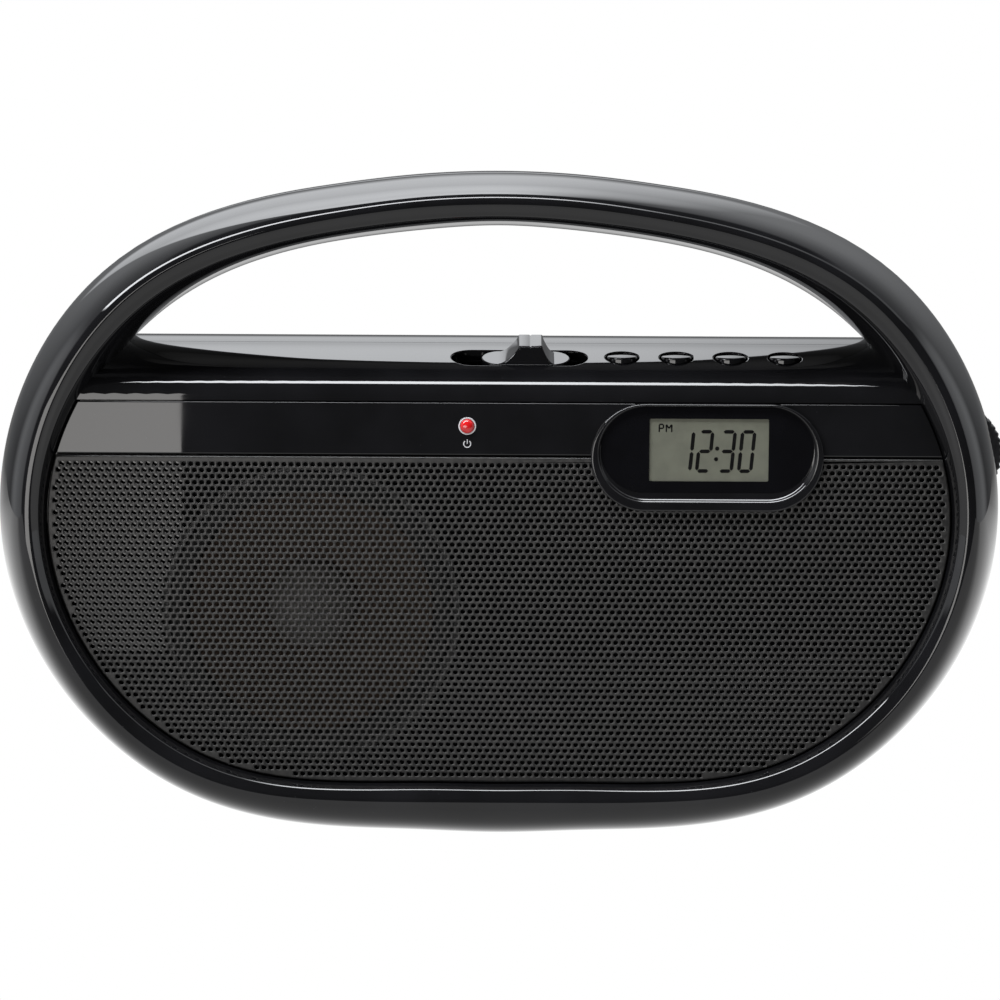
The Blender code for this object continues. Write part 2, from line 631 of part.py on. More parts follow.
def electronics():
    place(box((-2.0, 74.0), (26.0, 27.6), (-50.0, 0.5)), "main_board", "board")
    place(cylinder((0, 41.0, 10.5), "x", (-40.0, 60.0), 4.0), "ferrite_rod", "ferrite")
    core = box((-96.0, -68.0), (42.6, 58.0), (-34.0, -14.0))
    join(core, box((-92.0, -72.0), (41.2, 59.0), (-30.0, -18.0)))
    place(core, "transformer", "steel")


def mains_inlet():
    """Figure-eight socket in the back, with its two pins."""
    x, z = INLET_X, INLET_Z
    inlet = box((x - 6.7, x + 6.7), (44.6, DEPTH), (z - 4.0, z + 4.0))
    cut(inlet, box((x - 2.6, x + 2.6), (52.0, 70.0), (z - 1.6, z + 1.6)))
    for side in (-1, 1):
        cut(inlet, cylinder((x + 2.6 * side, 0, z), "y", (52.0, 70.0), 2.6, 12))
    for side in (-1, 1):
        join(inlet, cylinder((x + 2.9 * side, 0, z), "y", (51.0, 60.0), 1.0, 8))
    place(inlet, "mains_inlet", "satin_black")


def headphone_jack():
    jack = cylinder((JACK_X, 0, JACK_Z), "y", (59.6, DEPTH), 2.95)
    cut(jack, cylinder((JACK_X, 0, JACK_Z), "y", (58.0, 70.0), 1.8))
    place(jack, "headphone_jack", "chrome")


def battery_parts():
    """Door with a fully round hinge edge at the top, and a contact plate at each end of the bay."""
    low, high = DOOR_Z
    y0, y1 = DOOR_Y
    r = (y1 - y0) / 2
    outline = [(y0, low), (y1, low)]
    for k in range(7):
        a = math.pi * k / 6
        outline.append((y0 + r + r * math.cos(a), high - r + r * math.sin(a)))
    hinge = (sum(DOOR_X) / 2, y0 + r, high - r)
    place(prism_x(outline, DOOR_X), "battery_door", "satin_black", pivot=hinge)
    for side, x in (("left", BAY_X[0] + 0.3), ("right", BAY_X[1] - 0.9)):
        plate = box((x, x + 0.6), (46.0, 57.5), (BAY_Z[0] + 1.0, BAY_Z[1] - 1.0))
        place(plate, f"battery_contact_{side}", "steel")


# ---------------------------------------------------------------- antenna, screws


def rod(x, radius, count=16):
    return cylinder((0, ANTENNA_Y, GROOVE_Z), "x", x, radius, count)


def fold_pin(height, radius, count=16):
    """Upright cylinder on the axis of the antenna's fold."""
    return cylinder((FOLD_X, ANTENNA_Y, 0), "z", (GROOVE_Z - height, GROOVE_Z + height), radius, count)


def antenna_base():
    y, z = ANTENNA_Y, GROOVE_Z
    base = box((78.4, 84.6), (y - 3.5, y + 2.6), (z - 3.6, z + 3.5))
    place(cut(base, rod((70.0, 83.4), 2.05)), "antenna_base", "satin_black")


def antenna_knuckle():
    """Fork that swivels in the base, with the antenna's fold between its cheeks."""
    y, z = ANTENNA_Y, GROOVE_Z
    knuckle = rod((77.4, 83.2), 1.98)
    join(knuckle, rod((74.2, 78.0), 2.9))
    join(knuckle, box((FOLD_X - 2.8, 74.6), (y - 0.75, y + 0.75), (z - 2.6, z + 2.6)))
    join(knuckle, fold_pin(2.6, 2.5))
    cut(knuckle, box((67.0, 73.9), (y - 4, y + 4), (z - 0.95, z + 0.95)))
    cut(knuckle, fold_pin(4.0, 0.8, 12))
    place(knuckle, "antenna_knuckle", "chrome", pivot=(80.0, y, z), parent="antenna_base")


def antenna_tubes():
    """Outer tube with its fold tongue, two inner tubes and the tip rod, each inside the one before."""
    y, z = ANTENNA_Y, GROOVE_Z
    tongue = fold_pin(2.4, 0.76, 12)
    join(tongue, fold_pin(0.8, 2.3))
    join(tongue, box((64.0, FOLD_X), (y - 0.9, y + 0.9), (z - 0.8, z + 0.8)))
    tube = cut(rod((-72.0, 66.6), 2.9), rod((-80.0, 62.0), 2.4))
    fold = (FOLD_X, y, z)
    place(join(tube, tongue), "antenna_tube_1", "chrome", pivot=fold, parent="antenna_knuckle")
    tube = cut(rod((-73.5, 60.0), 2.3), rod((-80.0, 58.6), 1.8))
    place(tube, "antenna_tube_2", "chrome", parent="antenna_tube_1")
    tube = cut(rod((-75.0, 57.0), 1.7), rod((-82.0, 55.6), 1.2))
    place(tube, "antenna_tube_3", "chrome", parent="antenna_tube_2")
    tip = join(rod((-78.0, 54.0), 1.1), rod((-82.0, -77.0), (2.1, 2.6)))
    place(tip, "antenna_tip", "chrome", parent="antenna_tube_3")


def case_screws():
    """Cross-head screws that join the two halves, down their tubes."""
    for index, (x, z) in enumerate(SCREWS):
        screw = cylinder((x, 0, z), "y", (22.0, 41.0), 1.6, 12)
        join(screw, cylinder((x, 0, z), "y", (40.1, 42.6), 3.0, 12))
        cut(screw, box((x - 2.0, x + 2.0), (41.4, 44.0), (z - 0.4, z + 0.4)))
        cut(screw, box((x - 0.4, x + 0.4), (41.4, 44.0), (z - 2.0, z + 2.0)))
        place(screw, f"case_screw_{index + 1}", "steel")


def main():
    for obj in list(bpy.data.objects):
        bpy.data.objects.remove(obj)
    radio = bpy.data.objects.new("radio", None)
    bpy.context.scene.collection.objects.link(radio)
    front = front_openings(front_cabinet())
    rear = rear_openings(rear_cabinet())
    feet(front, rear)
    place(front, "front_cabinet", "gloss_black")
    place(rear, "rear_cabinet", "gloss_black")
    front_panel()
    speaker_grille()
    display()
    power_light()
    keys()
    function_lever()
    side_controls()
    loudspeaker()
    electronics()
    mains_inlet()
    headphone_jack()
    battery_parts()
    antenna_base()
    antenna_knuckle()
    antenna_tubes()
    case_screws()


main()
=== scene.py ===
"""Looks of the portable radio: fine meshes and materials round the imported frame, and its studio."""
import math

import bmesh
import bpy
import numpy as np
from mathutils import Matrix, Vector
from mathutils.geometry import delaunay_2d_cdt

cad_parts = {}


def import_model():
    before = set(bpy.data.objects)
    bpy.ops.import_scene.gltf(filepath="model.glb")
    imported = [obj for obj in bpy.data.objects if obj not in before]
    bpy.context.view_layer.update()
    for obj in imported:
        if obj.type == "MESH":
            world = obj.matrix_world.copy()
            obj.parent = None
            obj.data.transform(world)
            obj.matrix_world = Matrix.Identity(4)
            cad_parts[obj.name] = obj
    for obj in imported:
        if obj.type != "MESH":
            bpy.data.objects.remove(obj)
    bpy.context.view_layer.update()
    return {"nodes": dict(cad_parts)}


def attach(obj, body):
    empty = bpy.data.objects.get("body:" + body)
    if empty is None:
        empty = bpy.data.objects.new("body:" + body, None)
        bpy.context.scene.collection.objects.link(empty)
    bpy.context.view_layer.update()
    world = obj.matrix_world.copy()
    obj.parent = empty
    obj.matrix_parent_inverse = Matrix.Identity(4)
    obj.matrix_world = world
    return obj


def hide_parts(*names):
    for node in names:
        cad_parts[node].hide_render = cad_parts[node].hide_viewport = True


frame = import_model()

# ---------------------------------------------------------------- driving dimensions, millimetres
# In a drawing, x runs to the right, y back from the hoop's front crest, z up from the hoop's centre.
# Radii of the hoop's contours, every 15 degrees from its top to its bottom, the same on both sides.
GIRTH = [75.7, 77.5, 83.4, 94.6, 108.0, 117.5, 122.4, 122.3, 117.1, 108.4, 97.2, 88.4, 86.1]
FRONT_CREST = [70.7, 72.4, 77.6, 87.5, 99.4, 107.7, 112.1, 111.7, 106.9, 97.4, 84.6, 76.3, 73.7]
FRONT_INNER = [68.6, 70.2, 75.4, 85.1, 97.3, 106.1, 110.6, 109.9, 104.4, 94.9, 82.3, 73.8, 71.4]
GRIP = [63.8, 65.0, 69.9, 79.0, 90.3, 100.5, 108.0, 108.3, 103.4, 94.2, 81.9, 73.6, 71.2]
REAR_CREST = [69.5, 71.0, 76.0, 86.0, 98.0, 106.5, 110.5, 110.0, 104.5, 95.5, 83.5, 76.0, 74.0]
REAR_INNER = [67.5, 69.0, 74.0, 84.0, 96.0, 104.5, 108.5, 108.0, 102.5, 93.5, 81.5, 74.0, 72.0]
# Points round the front and rear halves.
AROUND = 288
REAR_AROUND = 144

DEPTH = 62.0
MIDDLE_Y = 31.0
PARTING_Y = 32.0
BEVEL_Y = 1.5
WALL = 2.4
FACE_Y = 7.0
SEAT_Y = 9.3
UNDERSIDE_Z = -84.9
FLOOR_Z = -85.2
PANEL_TOP_Z = 22.8
PANEL_SPLIT_Z = 9.75
GAP = 0.3

# Side view of the top deck, from its front edge back over the rear shoulder, as (y, z).
DECK = [
    (7.0, 22.8), (7.0, 24.2), (7.35, 25.7), (8.2, 27.1), (9.5, 28.3), (11.5, 29.6),
    (14.0, 30.6), (18.0, 31.7), (22.0, 32.6), (26.0, 33.3), (32.0, 33.9), (40.0, 34.1),
    (47.0, 33.9), (52.0, 33.0), (56.0, 31.0), (59.0, 28.0), (61.0, 24.0), (62.0, 18.5),
]  # fmt: skip
# The hoop is thickest between these depths.
GRIP_Y = (28.0, 36.0)
KEY_X = [29.7, 42.85, 56.0, 69.15]
KEY_Y = 19.5
KEY_R = 3.75
KEY_HOLE_R = 4.1
SLOT_X = (-11.7, 21.3)
SLOT_Y = (14.2, 24.2)
LEVER_X = (-4.4, 17.0)
LEVER_CLEARANCE = 0.45
BEZEL = (50.05, 9.5, 56.0, 26.2)
WINDOW = (50.05, 11.3, 51.2, 20.6)
LCD = (50.4, 11.3, 28.7, 15.2)
LED_X = -7.7
LED_Z = 16.8
LED_HOLE_R = 2.1
# Room round the edges of the strip and of the grille.
STRIP_FIT = 0.35
GRILLE_FIT = 0.45
SPEAKER_X = -45.5
SPEAKER_Z = -29.6
SPEAKER_R = 36.2
WHEEL_Z = 6.4
WHEELS = {"tuning": (112.4, 12.2, (35.5, 41.5)), "volume": (107.6, 11.6, (46.5, 52.5))}

BAY_X = (4.0, 64.0)
BAY_Z = (-58.0, -4.0)
BAY_FLOOR_Y = 44.0
DOOR_X = (2.4, 65.6)
DOOR_Z = (-60.4, -1.6)
DOOR_Y = (59.8, 62.0)
INLET = (-57.0, -42.0)
JACK = (-84.0, 2.0)
GROOVE_X = (-130.0, 85.0)
GROOVE_Z = 21.5
ANTENNA_Y = 59.2
FOLD_X = 71.0
SCREWS = [(-72.0, 9.0), (-91.0, -6.0), (-74.5, -59.5), (80.0, -54.0), (92.0, -12.0), (84.0, 9.0)]

# Perforation of the grille: hexagonal packing of round holes.
HOLE_PITCH = 1.725
HOLE_ROW = HOLE_PITCH * math.sqrt(3) / 2
HOLE_R = 0.63


def columns(*parts):
    """Points from their coordinates, each of them an array or one number for all."""
    return np.stack(np.broadcast_arrays(*parts), axis=-1)


def spline(half, angles):
    """Distance from the centre at each angle, by a periodic cubic spline through the mirrored stations."""
    stations = np.zeros(24)
    for k, value in enumerate(half):
        stations[(6 + k) % 24] = value
        stations[(6 - k) % 24] = value
    n = len(stations)
    system = 4 * np.eye(n) + np.roll(np.eye(n), 1, axis=0) + np.roll(np.eye(n), -1, axis=0)
    bend = np.linalg.solve(system, 6 * (np.roll(stations, -1) - 2 * stations + np.roll(stations, 1)))
    spot = np.degrees(angles) / 15.0
    low = np.floor(spot + 1e-9).astype(int)
    f = spot - low
    i, j = low % n, (low + 1) % n
    curve = ((1 - f) ** 3 - (1 - f)) * bend[i] / 6 + (f**3 - f) * bend[j] / 6
    return stations[i] * (1 - f) + stations[j] * f + curve


class Hoop:
    """The hoop's contours at a set of angles."""

    def __init__(self, angles):
        self.angles = angles
        self.girth = spline(GIRTH, angles)
        self.crest = spline(FRONT_CREST, angles)
        self.lip = spline(FRONT_INNER, angles)
        self.grip = spline(GRIP, angles)
        self.rear = spline(REAR_CREST, angles)
        self.rear_lip = spline(REAR_INNER, angles)

    def outer(self, y):
        """Outer surface at depth y: an elliptical roll on each side of the parting line."""
        if y <= PARTING_Y:
            return self.crest + (self.girth - self.crest) * math.sqrt(1 - (1 - y / PARTING_Y) ** 2)
        along = (y - PARTING_Y) / (DEPTH - PARTING_Y)
        return self.rear + (self.girth - self.rear) * math.sqrt(max(0.0, 1 - along**2))

    def inner(self, y):
        """Inner surface at depth y, which bulges inwards to make the grip of the handle."""
        near, far = GRIP_Y
        if y < BEVEL_Y:
            return self.crest + (self.lip - self.crest) * (y / BEVEL_Y)
        if y < near:
            along = 1 - (y - BEVEL_Y) / (near - BEVEL_Y)
            return self.lip + (self.grip - self.lip) * math.sqrt(1 - along**2)
        if y <= far:
            return self.grip
        if y <= DEPTH - BEVEL_Y:
            along = 1 - (DEPTH - BEVEL_Y - y) / (DEPTH - BEVEL_Y - far)
            return self.rear_lip + (self.grip - self.rear_lip) * math.sqrt(max(0.0, 1 - along**2))
        return self.rear_lip + (self.rear - self.rear_lip) * ((y - DEPTH + BEVEL_Y) / BEVEL_Y)

    def ring(self, radii, y):
        return columns(radii * np.cos(self.angles), y, radii * np.sin(self.angles))


# ---------------------------------------------------------------- building meshes


def row(points):
    """Drawing points in millimetres, as points of the frame in metres."""
    return (np.asarray(points, float) - (0.0, MIDDLE_Y, FLOOR_Z)) / 1000


def unit(vectors):
    return vectors / np.maximum(np.linalg.norm(vectors, axis=-1, keepdims=True), 1e-12)


class Build:
    """Gathers sheets and flats with their normals, and makes one object of them."""

    def __init__(self):
        self.points = []
        self.normals = []
        self.faces = []
        self.count = 0

    def add(self, points, normals, faces):
        """Points, a normal at each, and faces, which are turned to face as their normals do."""
        points = np.asarray(points, float)
        normals = np.broadcast_to(np.asarray(normals, float), points.shape)
        faces = np.array(faces)
        corners = points[faces]
        far = corners[:, -1] if faces.shape[1] > 3 else corners[:, 0]
        facing = np.cross(corners[:, 2] - corners[:, 0], far - corners[:, 1])
        away = np.einsum("ij,ij->i", facing, normals[faces].sum(axis=1)) < 0
        faces[away] = faces[away][:, ::-1]
        self.faces += (faces + self.count).tolist()
        self.points.append(points)
        self.normals.append(normals)
        self.count += len(points)

    def sheet(self, rows, closed=True, loop=False, flip=False):
        """Smooth surface through rows of points.

        closed joins each row's ends, and loop joins the first row to the last."""
        grid = np.array(rows, float)
        many, wide = grid.shape[:2]
        if closed:
            across = np.roll(grid, -1, axis=1) - np.roll(grid, 1, axis=1)
        else:
            across = np.gradient(grid, axis=1)
        if loop:
            along = np.roll(grid, -1, axis=0) - np.roll(grid, 1, axis=0)
        else:
            along = np.gradient(grid, axis=0)
        normals = unit(np.cross(across, along)) * (-1 if flip else 1)
        faces = []
        for i in range(many if loop else many - 1):
            for j in range(wide if closed else wide - 1):
                a, b = i * wide, (i + 1) % many * wide
                k = (j + 1) % wide
                faces.append((a + j, a + k, b + k, b + j))
        self.add(grid.reshape(-1, 3), normals.reshape(-1, 3), faces)

    def flat(self, outline, holes, lift, normal, inner=()):
        """Flat face with holes. lift turns a point of its plane into a drawing point."""
        points, faces = fill(outline, holes, inner)
        self.add(np.array([lift(*p) for p in points]), normal, faces)

    def block(self, low, high):
        """Box with its own faces, for small plain details."""
        low, high = np.array(low, float), np.array(high, float)
        for axis in range(3):
            u, v = (axis + 1) % 3, (axis + 2) % 3
            for side, spot in ((-1, low[axis]), (1, high[axis])):
                corners = np.zeros((4, 3))
                corners[:, axis] = spot
                corners[:, u] = [low[u], high[u], high[u], low[u]]
                corners[:, v] = [low[v], low[v], high[v], high[v]]
                normal = np.zeros(3)
                normal[axis] = side
                self.add(corners, normal, [(0, 1, 2, 3)])

    def make(self, name, look, body="cabinet", replaces=()):
        """The piece, with its material, its body and the nodes that it stands for."""
        mesh = bpy.data.meshes.new(name)
        mesh.from_pydata(row(np.concatenate(self.points)).tolist(), [], self.faces)
        mesh.shade_smooth()
        mesh.normals_split_custom_set_from_vertices(np.concatenate(self.normals).tolist())
        present(mesh, name, look, body, replaces)


def added(name, data):
    """Object of a mesh, light or camera, in the scene."""
    obj = bpy.data.objects.new(name, data)
    bpy.context.scene.collection.objects.link(obj)
    return obj


def present(mesh, name, look, body, replaces=()):
    """Piece of a finished mesh, which rides on its body and stands for its nodes."""
    obj = added(name, mesh)
    mesh.materials.clear()
    mesh.materials.append(LOOKS[look])
    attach(obj, body)
    if replaces:
        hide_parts(*replaces)


def inside(outline, points):
    """Which of the points lie inside a polygon."""
    outline = np.asarray(outline, float)
    following = np.roll(outline, -1, axis=0)
    found = np.zeros(len(points), bool)
    for (x0, y0), (x1, y1) in zip(outline, following):
        if y0 == y1:
            continue
        crosses = (points[:, 1] < y0) != (points[:, 1] < y1)
        found ^= crosses & (points[:, 0] < x0 + (points[:, 1] - y0) * (x1 - x0) / (y1 - y0))
    return found


def triangles(spots, edges):
    """Points and triangles of a plane that keep the edges, with each triangle's middle."""
    made = delaunay_2d_cdt(spots, edges, [], 0, 1e-5)
    points = np.array([tuple(p) for p in made[0]])
    faces = np.array(made[2])
    return points, faces, points[faces].mean(axis=1)


def fill(outline, holes, inner=()):
    """Triangles of a flat region with holes, in its own plane."""
    spots, edges = [], []
    for loop in (outline, *holes):
        start = len(spots)
        spots += [Vector(p) for p in loop]
        edges += [(start + k, start + (k + 1) % len(loop)) for k in range(len(loop))]
    spots += [Vector(p) for p in inner]
    points, faces, centres = triangles(spots, edges)
    wanted = inside(outline, centres)
    for hole in holes:
        wanted &= ~inside(hole, centres)
    return points, faces[wanted].tolist()


def circle(x, z, radius, count=48):
    turn = 2 * np.pi * np.arange(count) / count
    return columns(x + radius * np.cos(turn), z + radius * np.sin(turn))


def stadium(x, z, width, height, count=24):
    """Outline in a plane with two full round ends."""
    r = height / 2
    half = width / 2 - r
    points = []
    for side in (1, -1):
        for k in range(count + 1):
            a = math.pi * (k / count - 0.5)
            points.append((x + side * (half + r * math.cos(a)), z + side * r * math.sin(a)))
    return np.array(points)


def rounded(x, z, width, height, r, count=8):
    """Rectangle with round corners."""
    points = []
    for quarter, (sx, sz) in enumerate(((1, 1), (-1, 1), (-1, -1), (1, -1))):
        for k in range(count + 1):
            a = math.pi / 2 * (quarter + k / count)
            cx, cz = x + sx * (width / 2 - r), z + sz * (height / 2 - r)
            points.append((cx + r * math.cos(a), cz + r * math.sin(a)))
    return np.array(points)


def stand(outline, y):
    """An (x, z) outline as drawing points at depth y."""
    outline = np.asarray(outline)
    return columns(outline[:, 0], y, outline[:, 1])


def turned(profile, centre, axis, count=64):
    """Rows of a turned shape, from (radius, position) points."""
    turn = 2 * np.pi * np.arange(count) / count
    rows = []
    for radius, spot in profile:
        u, v = radius * np.cos(turn), radius * np.sin(turn)
        if axis == "x":
            rows.append(columns(spot, centre[1] + u, centre[2] + v))
        elif axis == "y":
            rows.append(columns(centre[0] + u, spot, centre[2] + v))
        else:
            rows.append(columns(centre[0] + u, centre[1] + v, spot))
    return rows


def lathe(name, look, profile, centre, axis, count, **more):
    """Piece turned from a profile."""
    build = Build()
    build.sheet(turned(profile, centre, axis, count))
    build.make(name, look, **more)


def arc(middle, radius, start, end, steps=6):
    """Points on an arc, with its angles in degrees."""
    angles = np.radians(np.linspace(start, end, steps + 1))
    return [(middle[0] + radius * math.cos(a), middle[1] + radius * math.sin(a)) for a in angles]


# ---------------------------------------------------------------- materials


def connect(socket, value):
    """Gives a node's input a value, or another node's output."""
    if isinstance(value, bpy.types.NodeSocket):
        socket.id_data.links.new(value, socket)
    else:
        socket.default_value = value


def feed(node, **inputs):
    """Connects a node's inputs by their names, with _ for a space."""
    for name, value in inputs.items():
        connect(node.inputs[name.replace("_", " ")], value)


def shade(tree, kind, **inputs):
    """New shader node with its inputs connected."""
    node = tree.nodes.new("ShaderNode" + kind)
    feed(node, **inputs)
    return node


def look(
    name, dark, light, rough, metal=0.0, grain=900.0, bump=0.0, relief=2000.0, coat=0.0, stretch=(1, 1, 1)
):
    """Principled material whose colour, roughness and height vary over the surface.

    dark and light are the two ends of its colour, rough the two ends of its roughness, and grain and
    relief are the fineness of the patches and of the height, per metre."""
    made = bpy.data.materials.new("look_" + name)
    made.use_nodes = True
    tree = made.node_tree
    shader = tree.nodes["Principled BSDF"]
    place = shade(tree, "TexCoord").outputs["Object"]
    place = shade(tree, "Mapping", Scale=stretch, Vector=place).outputs["Vector"]
    patches = shade(tree, "TexNoise", Scale=grain, Detail=5.0, Vector=place).outputs["Fac"]
    colour = shade(tree, "ValToRGB", Fac=patches)
    for stop, spot, tint in zip(colour.color_ramp.elements, (0.35, 0.65), (dark, light)):
        stop.position = spot
        stop.color = (*tint, 1)
    spread = shade(tree, "MapRange", Value=patches, From_Min=0.3, From_Max=0.7)
    feed(spread, To_Min=rough[0], To_Max=rough[1])
    feed(shader, Base_Color=colour.outputs["Color"], Roughness=spread.outputs["Result"], Metallic=metal)
    if coat:
        feed(shader, Coat_Weight=coat, Coat_Roughness=0.03)
    if bump:
        height = shade(tree, "TexNoise", Scale=relief, Detail=3.0, Vector=place)
        normal = shade(tree, "Bump", Strength=bump, Distance=0.0001, Height=height.outputs["Fac"])
        feed(shader, Normal=normal.outputs["Normal"])
    return made


def gloss_look():
    """Polished black plastic: a clean gloss with sparse dust and a faint haze from handling."""
    made = look("gloss_black", (0.0045, 0.0045, 0.005), (0.007, 0.007, 0.008), (0.006, 0.022), grain=60.0)
    tree = made.node_tree
    place = tree.nodes["Texture Coordinate"].outputs["Object"]
    dust = shade(tree, "TexVoronoi", Scale=420.0, Vector=place)
    speck = shade(tree, "MapRange", Value=dust.outputs["Distance"], From_Min=0.035, From_Max=0.02)
    tint = tree.nodes.new("ShaderNodeMix")
    tint.data_type = "RGBA"
    plastic = tree.nodes["Color Ramp"].outputs["Color"]
    feed(tint, Factor=speck.outputs["Result"], A=plastic, B=(0.06, 0.06, 0.065, 1))
    feed(tree.nodes["Principled BSDF"], Base_Color=tint.outputs["Result"])
    return made


# name: (two ends of the colour, two ends of the roughness, the rest of what look() takes)
LOOK_FACTS = {
    "satin_black": ((0.01, 0.01, 0.011), (0.018, 0.018, 0.019), (0.3, 0.42), dict(bump=0.25, relief=4500.0)),
    "grille_black": ((0.034, 0.034, 0.034), (0.050, 0.049, 0.048), (0.34, 0.5), dict(metal=0.75, bump=0.1)),
    "window": ((0.003, 0.003, 0.0035), (0.004, 0.004, 0.005), (0.015, 0.03), dict(grain=80.0)),
    "lcd": ((0.118, 0.121, 0.098), (0.134, 0.138, 0.110), (0.03, 0.06), dict(grain=300.0)),
    "red_lens": ((0.45, 0.006, 0.008), (0.70, 0.012, 0.014), (0.10, 0.18), dict(grain=700.0, coat=0.6)),
    "rubber": ((0.010, 0.010, 0.010), (0.020, 0.020, 0.020), (0.7, 0.85), dict(bump=0.4, relief=5000.0)),
    "steel": (
        (0.36, 0.36, 0.37), (0.52, 0.52, 0.53), (0.26, 0.44), dict(metal=1.0, stretch=(1, 12, 1), grain=500.0)
    ),
    "chrome": ((0.66, 0.66, 0.68), (0.78, 0.78, 0.80), (0.05, 0.11), dict(metal=1.0, grain=250.0)),
    "board": ((0.03, 0.11, 0.04), (0.06, 0.17, 0.07), (0.35, 0.5), dict(bump=0.2, grain=350.0)),
    "ferrite": ((0.035, 0.035, 0.04), (0.07, 0.07, 0.075), (0.5, 0.7), dict(bump=0.3, relief=6000.0)),
    "paper": ((0.045, 0.030, 0.022), (0.075, 0.050, 0.036), (0.8, 0.95), dict(bump=0.5, relief=3000.0)),
    "ink": ((0.004, 0.004, 0.004), (0.007, 0.007, 0.007), (0.03, 0.06), dict(grain=500.0)),
    "print": ((0.48, 0.48, 0.50), (0.58, 0.58, 0.60), (0.45, 0.6), dict(grain=900.0)),
    "dome": ((0.10, 0.095, 0.085), (0.14, 0.13, 0.12), (0.5, 0.65), dict(grain=700.0, bump=0.2)),
}  # fmt: skip
LOOKS = {"gloss_black": gloss_look()}
for name, (dark, light, rough, more) in LOOK_FACTS.items():
    LOOKS[name] = look(name, dark, light, rough, **more)
feed(LOOKS["window"].node_tree.nodes["Principled BSDF"], Specular_IOR_Level=0.15)


def dress_cad_nodes():
    """A procedural material for every node, by the plain material that it comes with."""
    for node in frame["nodes"].values():
        for index, old in enumerate(node.data.materials):
            plain = old.name.split(".")[0] if old else "satin_black"
            node.data.materials[index] = LOOKS.get(plain, LOOKS["satin_black"])
        if not node.data.materials:
            node.data.materials.append(LOOKS["satin_black"])
    frame["nodes"]["dust_cap"].data.materials[0] = LOOKS["dome"]
    frame["nodes"]["speaker_basket"].data.materials[0] = LOOKS["satin_black"]


# ---------------------------------------------------------------- front half of the cabinet

FINE = Hoop(np.radians(np.arange(AROUND) * 360.0 / AROUND))


def rounded_corner(before, corner, after, steps=6):
    """Rings that round a corner of the hoop's section, each a (radii, y) pair."""
    rings = []
    for k in range(steps + 1):
        s = k / steps
        weights = ((1 - s) ** 2, 2 * s * (1 - s), s**2)
        radii = sum(w * spot[0] for w, spot in zip(weights, (before, corner, after)))
        depth = sum(w * spot[1] for w, spot in zip(weights, (before, corner, after)))
        rings.append((radii, depth))
    return rings


def front_hoop():
    """Rings from the parting line over the roll, the crest and the bevel into the opening.

    The roll is an ellipse at the sides, and fuller, with a tighter turn into the front, at top and bottom."""
    h = FINE
    groove = 0.35
    fullness = 1.0 - 0.42 * np.sin(h.angles) ** 2
    rings = [(h.girth - groove, PARTING_Y - 0.05), (h.girth, PARTING_Y - 0.25)]
    for a in np.radians(np.linspace(87, 4, 34)):
        rings.append((h.crest + (h.girth - h.crest) * math.sin(a) ** fullness, PARTING_Y * (1 - math.cos(a))))
    slope = h.lip - h.crest
    edge = (h.crest + (h.girth - h.crest) * math.sin(math.radians(2.5)) ** fullness, 0.03)
    rings += rounded_corner(edge, (h.crest, 0.0), (h.crest + 0.22 * slope, 0.22 * BEVEL_Y))
    rings += [(h.crest + s * slope, s * BEVEL_Y) for s in (0.35, 0.5, 0.65)]
    foot = math.radians(7.0)
    bulge = h.grip - h.lip
    run = GRIP_Y[0] - BEVEL_Y
    start = (h.lip + bulge * math.sin(foot), BEVEL_Y + run * (1 - math.cos(foot)))
    rings += rounded_corner((h.crest + 0.8 * slope, 0.8 * BEVEL_Y), (h.lip, BEVEL_Y), start)
    for a in np.radians(np.linspace(11, 90, 20)):
        rings.append((h.lip + bulge * math.sin(a), BEVEL_Y + run * (1 - math.cos(a))))
    rings += [(h.grip, PARTING_Y - 0.25), (h.grip + groove, PARTING_Y - 0.05)]
    return [h.ring(radii, y) for radii, y in rings]


def level_underside(rows):
    """The same rows, with everything below the flat of the underside brought up to it."""
    flat = [np.array(points) for points in rows]
    for points in flat:
        points[:, 2] = np.maximum(points[:, 2], UNDERSIDE_Z)
    return flat


def deck_curve(count=220):
    """Evenly spaced points of the deck's side view on a smooth curve, and the curve's normals."""
    points = np.array(DECK)
    steps = np.linalg.norm(np.diff(points, axis=0), axis=1)
    spot = np.concatenate([[0.0], np.cumsum(steps)])
    n = len(points)
    system = np.zeros((n, n))
    load = np.zeros((n, 2))
    system[0, 0] = system[-1, -1] = 1.0
    for i in range(1, n - 1):
        system[i, i - 1 : i + 2] = steps[i - 1], 2 * (steps[i - 1] + steps[i]), steps[i]
        load[i] = 6 * ((points[i + 1] - points[i]) / steps[i] - (points[i] - points[i - 1]) / steps[i - 1])
    bend = np.linalg.solve(system, load)
    place = np.linspace(0.0, spot[-1], count)
    i = np.clip(np.searchsorted(spot, place, side="right") - 1, 0, n - 2)
    h = steps[i][:, None]
    b = ((place - spot[i]) / steps[i])[:, None]
    a = 1 - b
    curve = a * points[i] + b * points[i + 1] + ((a**3 - a) * bend[i] + (b**3 - b) * bend[i + 1]) * h**2 / 6
    along = unit(np.gradient(curve, axis=0))
    return place, curve, columns(-along[:, 1], along[:, 0])


DECK_SPOT, DECK_CURVE, DECK_NORMAL = deck_curve()


def deck_at(spot):
    """Depth, height and normal's two parts of the deck at distances along its side view."""
    return [np.interp(spot, DECK_SPOT, track) for track in (*DECK_CURVE.T, *DECK_NORMAL.T)]


def deck_z(y):
    return np.interp(y, DECK_CURVE[:, 0], DECK_CURVE[:, 1])


def spot_of(y):
    return np.interp(y, DECK_CURVE[:, 0], DECK_SPOT)


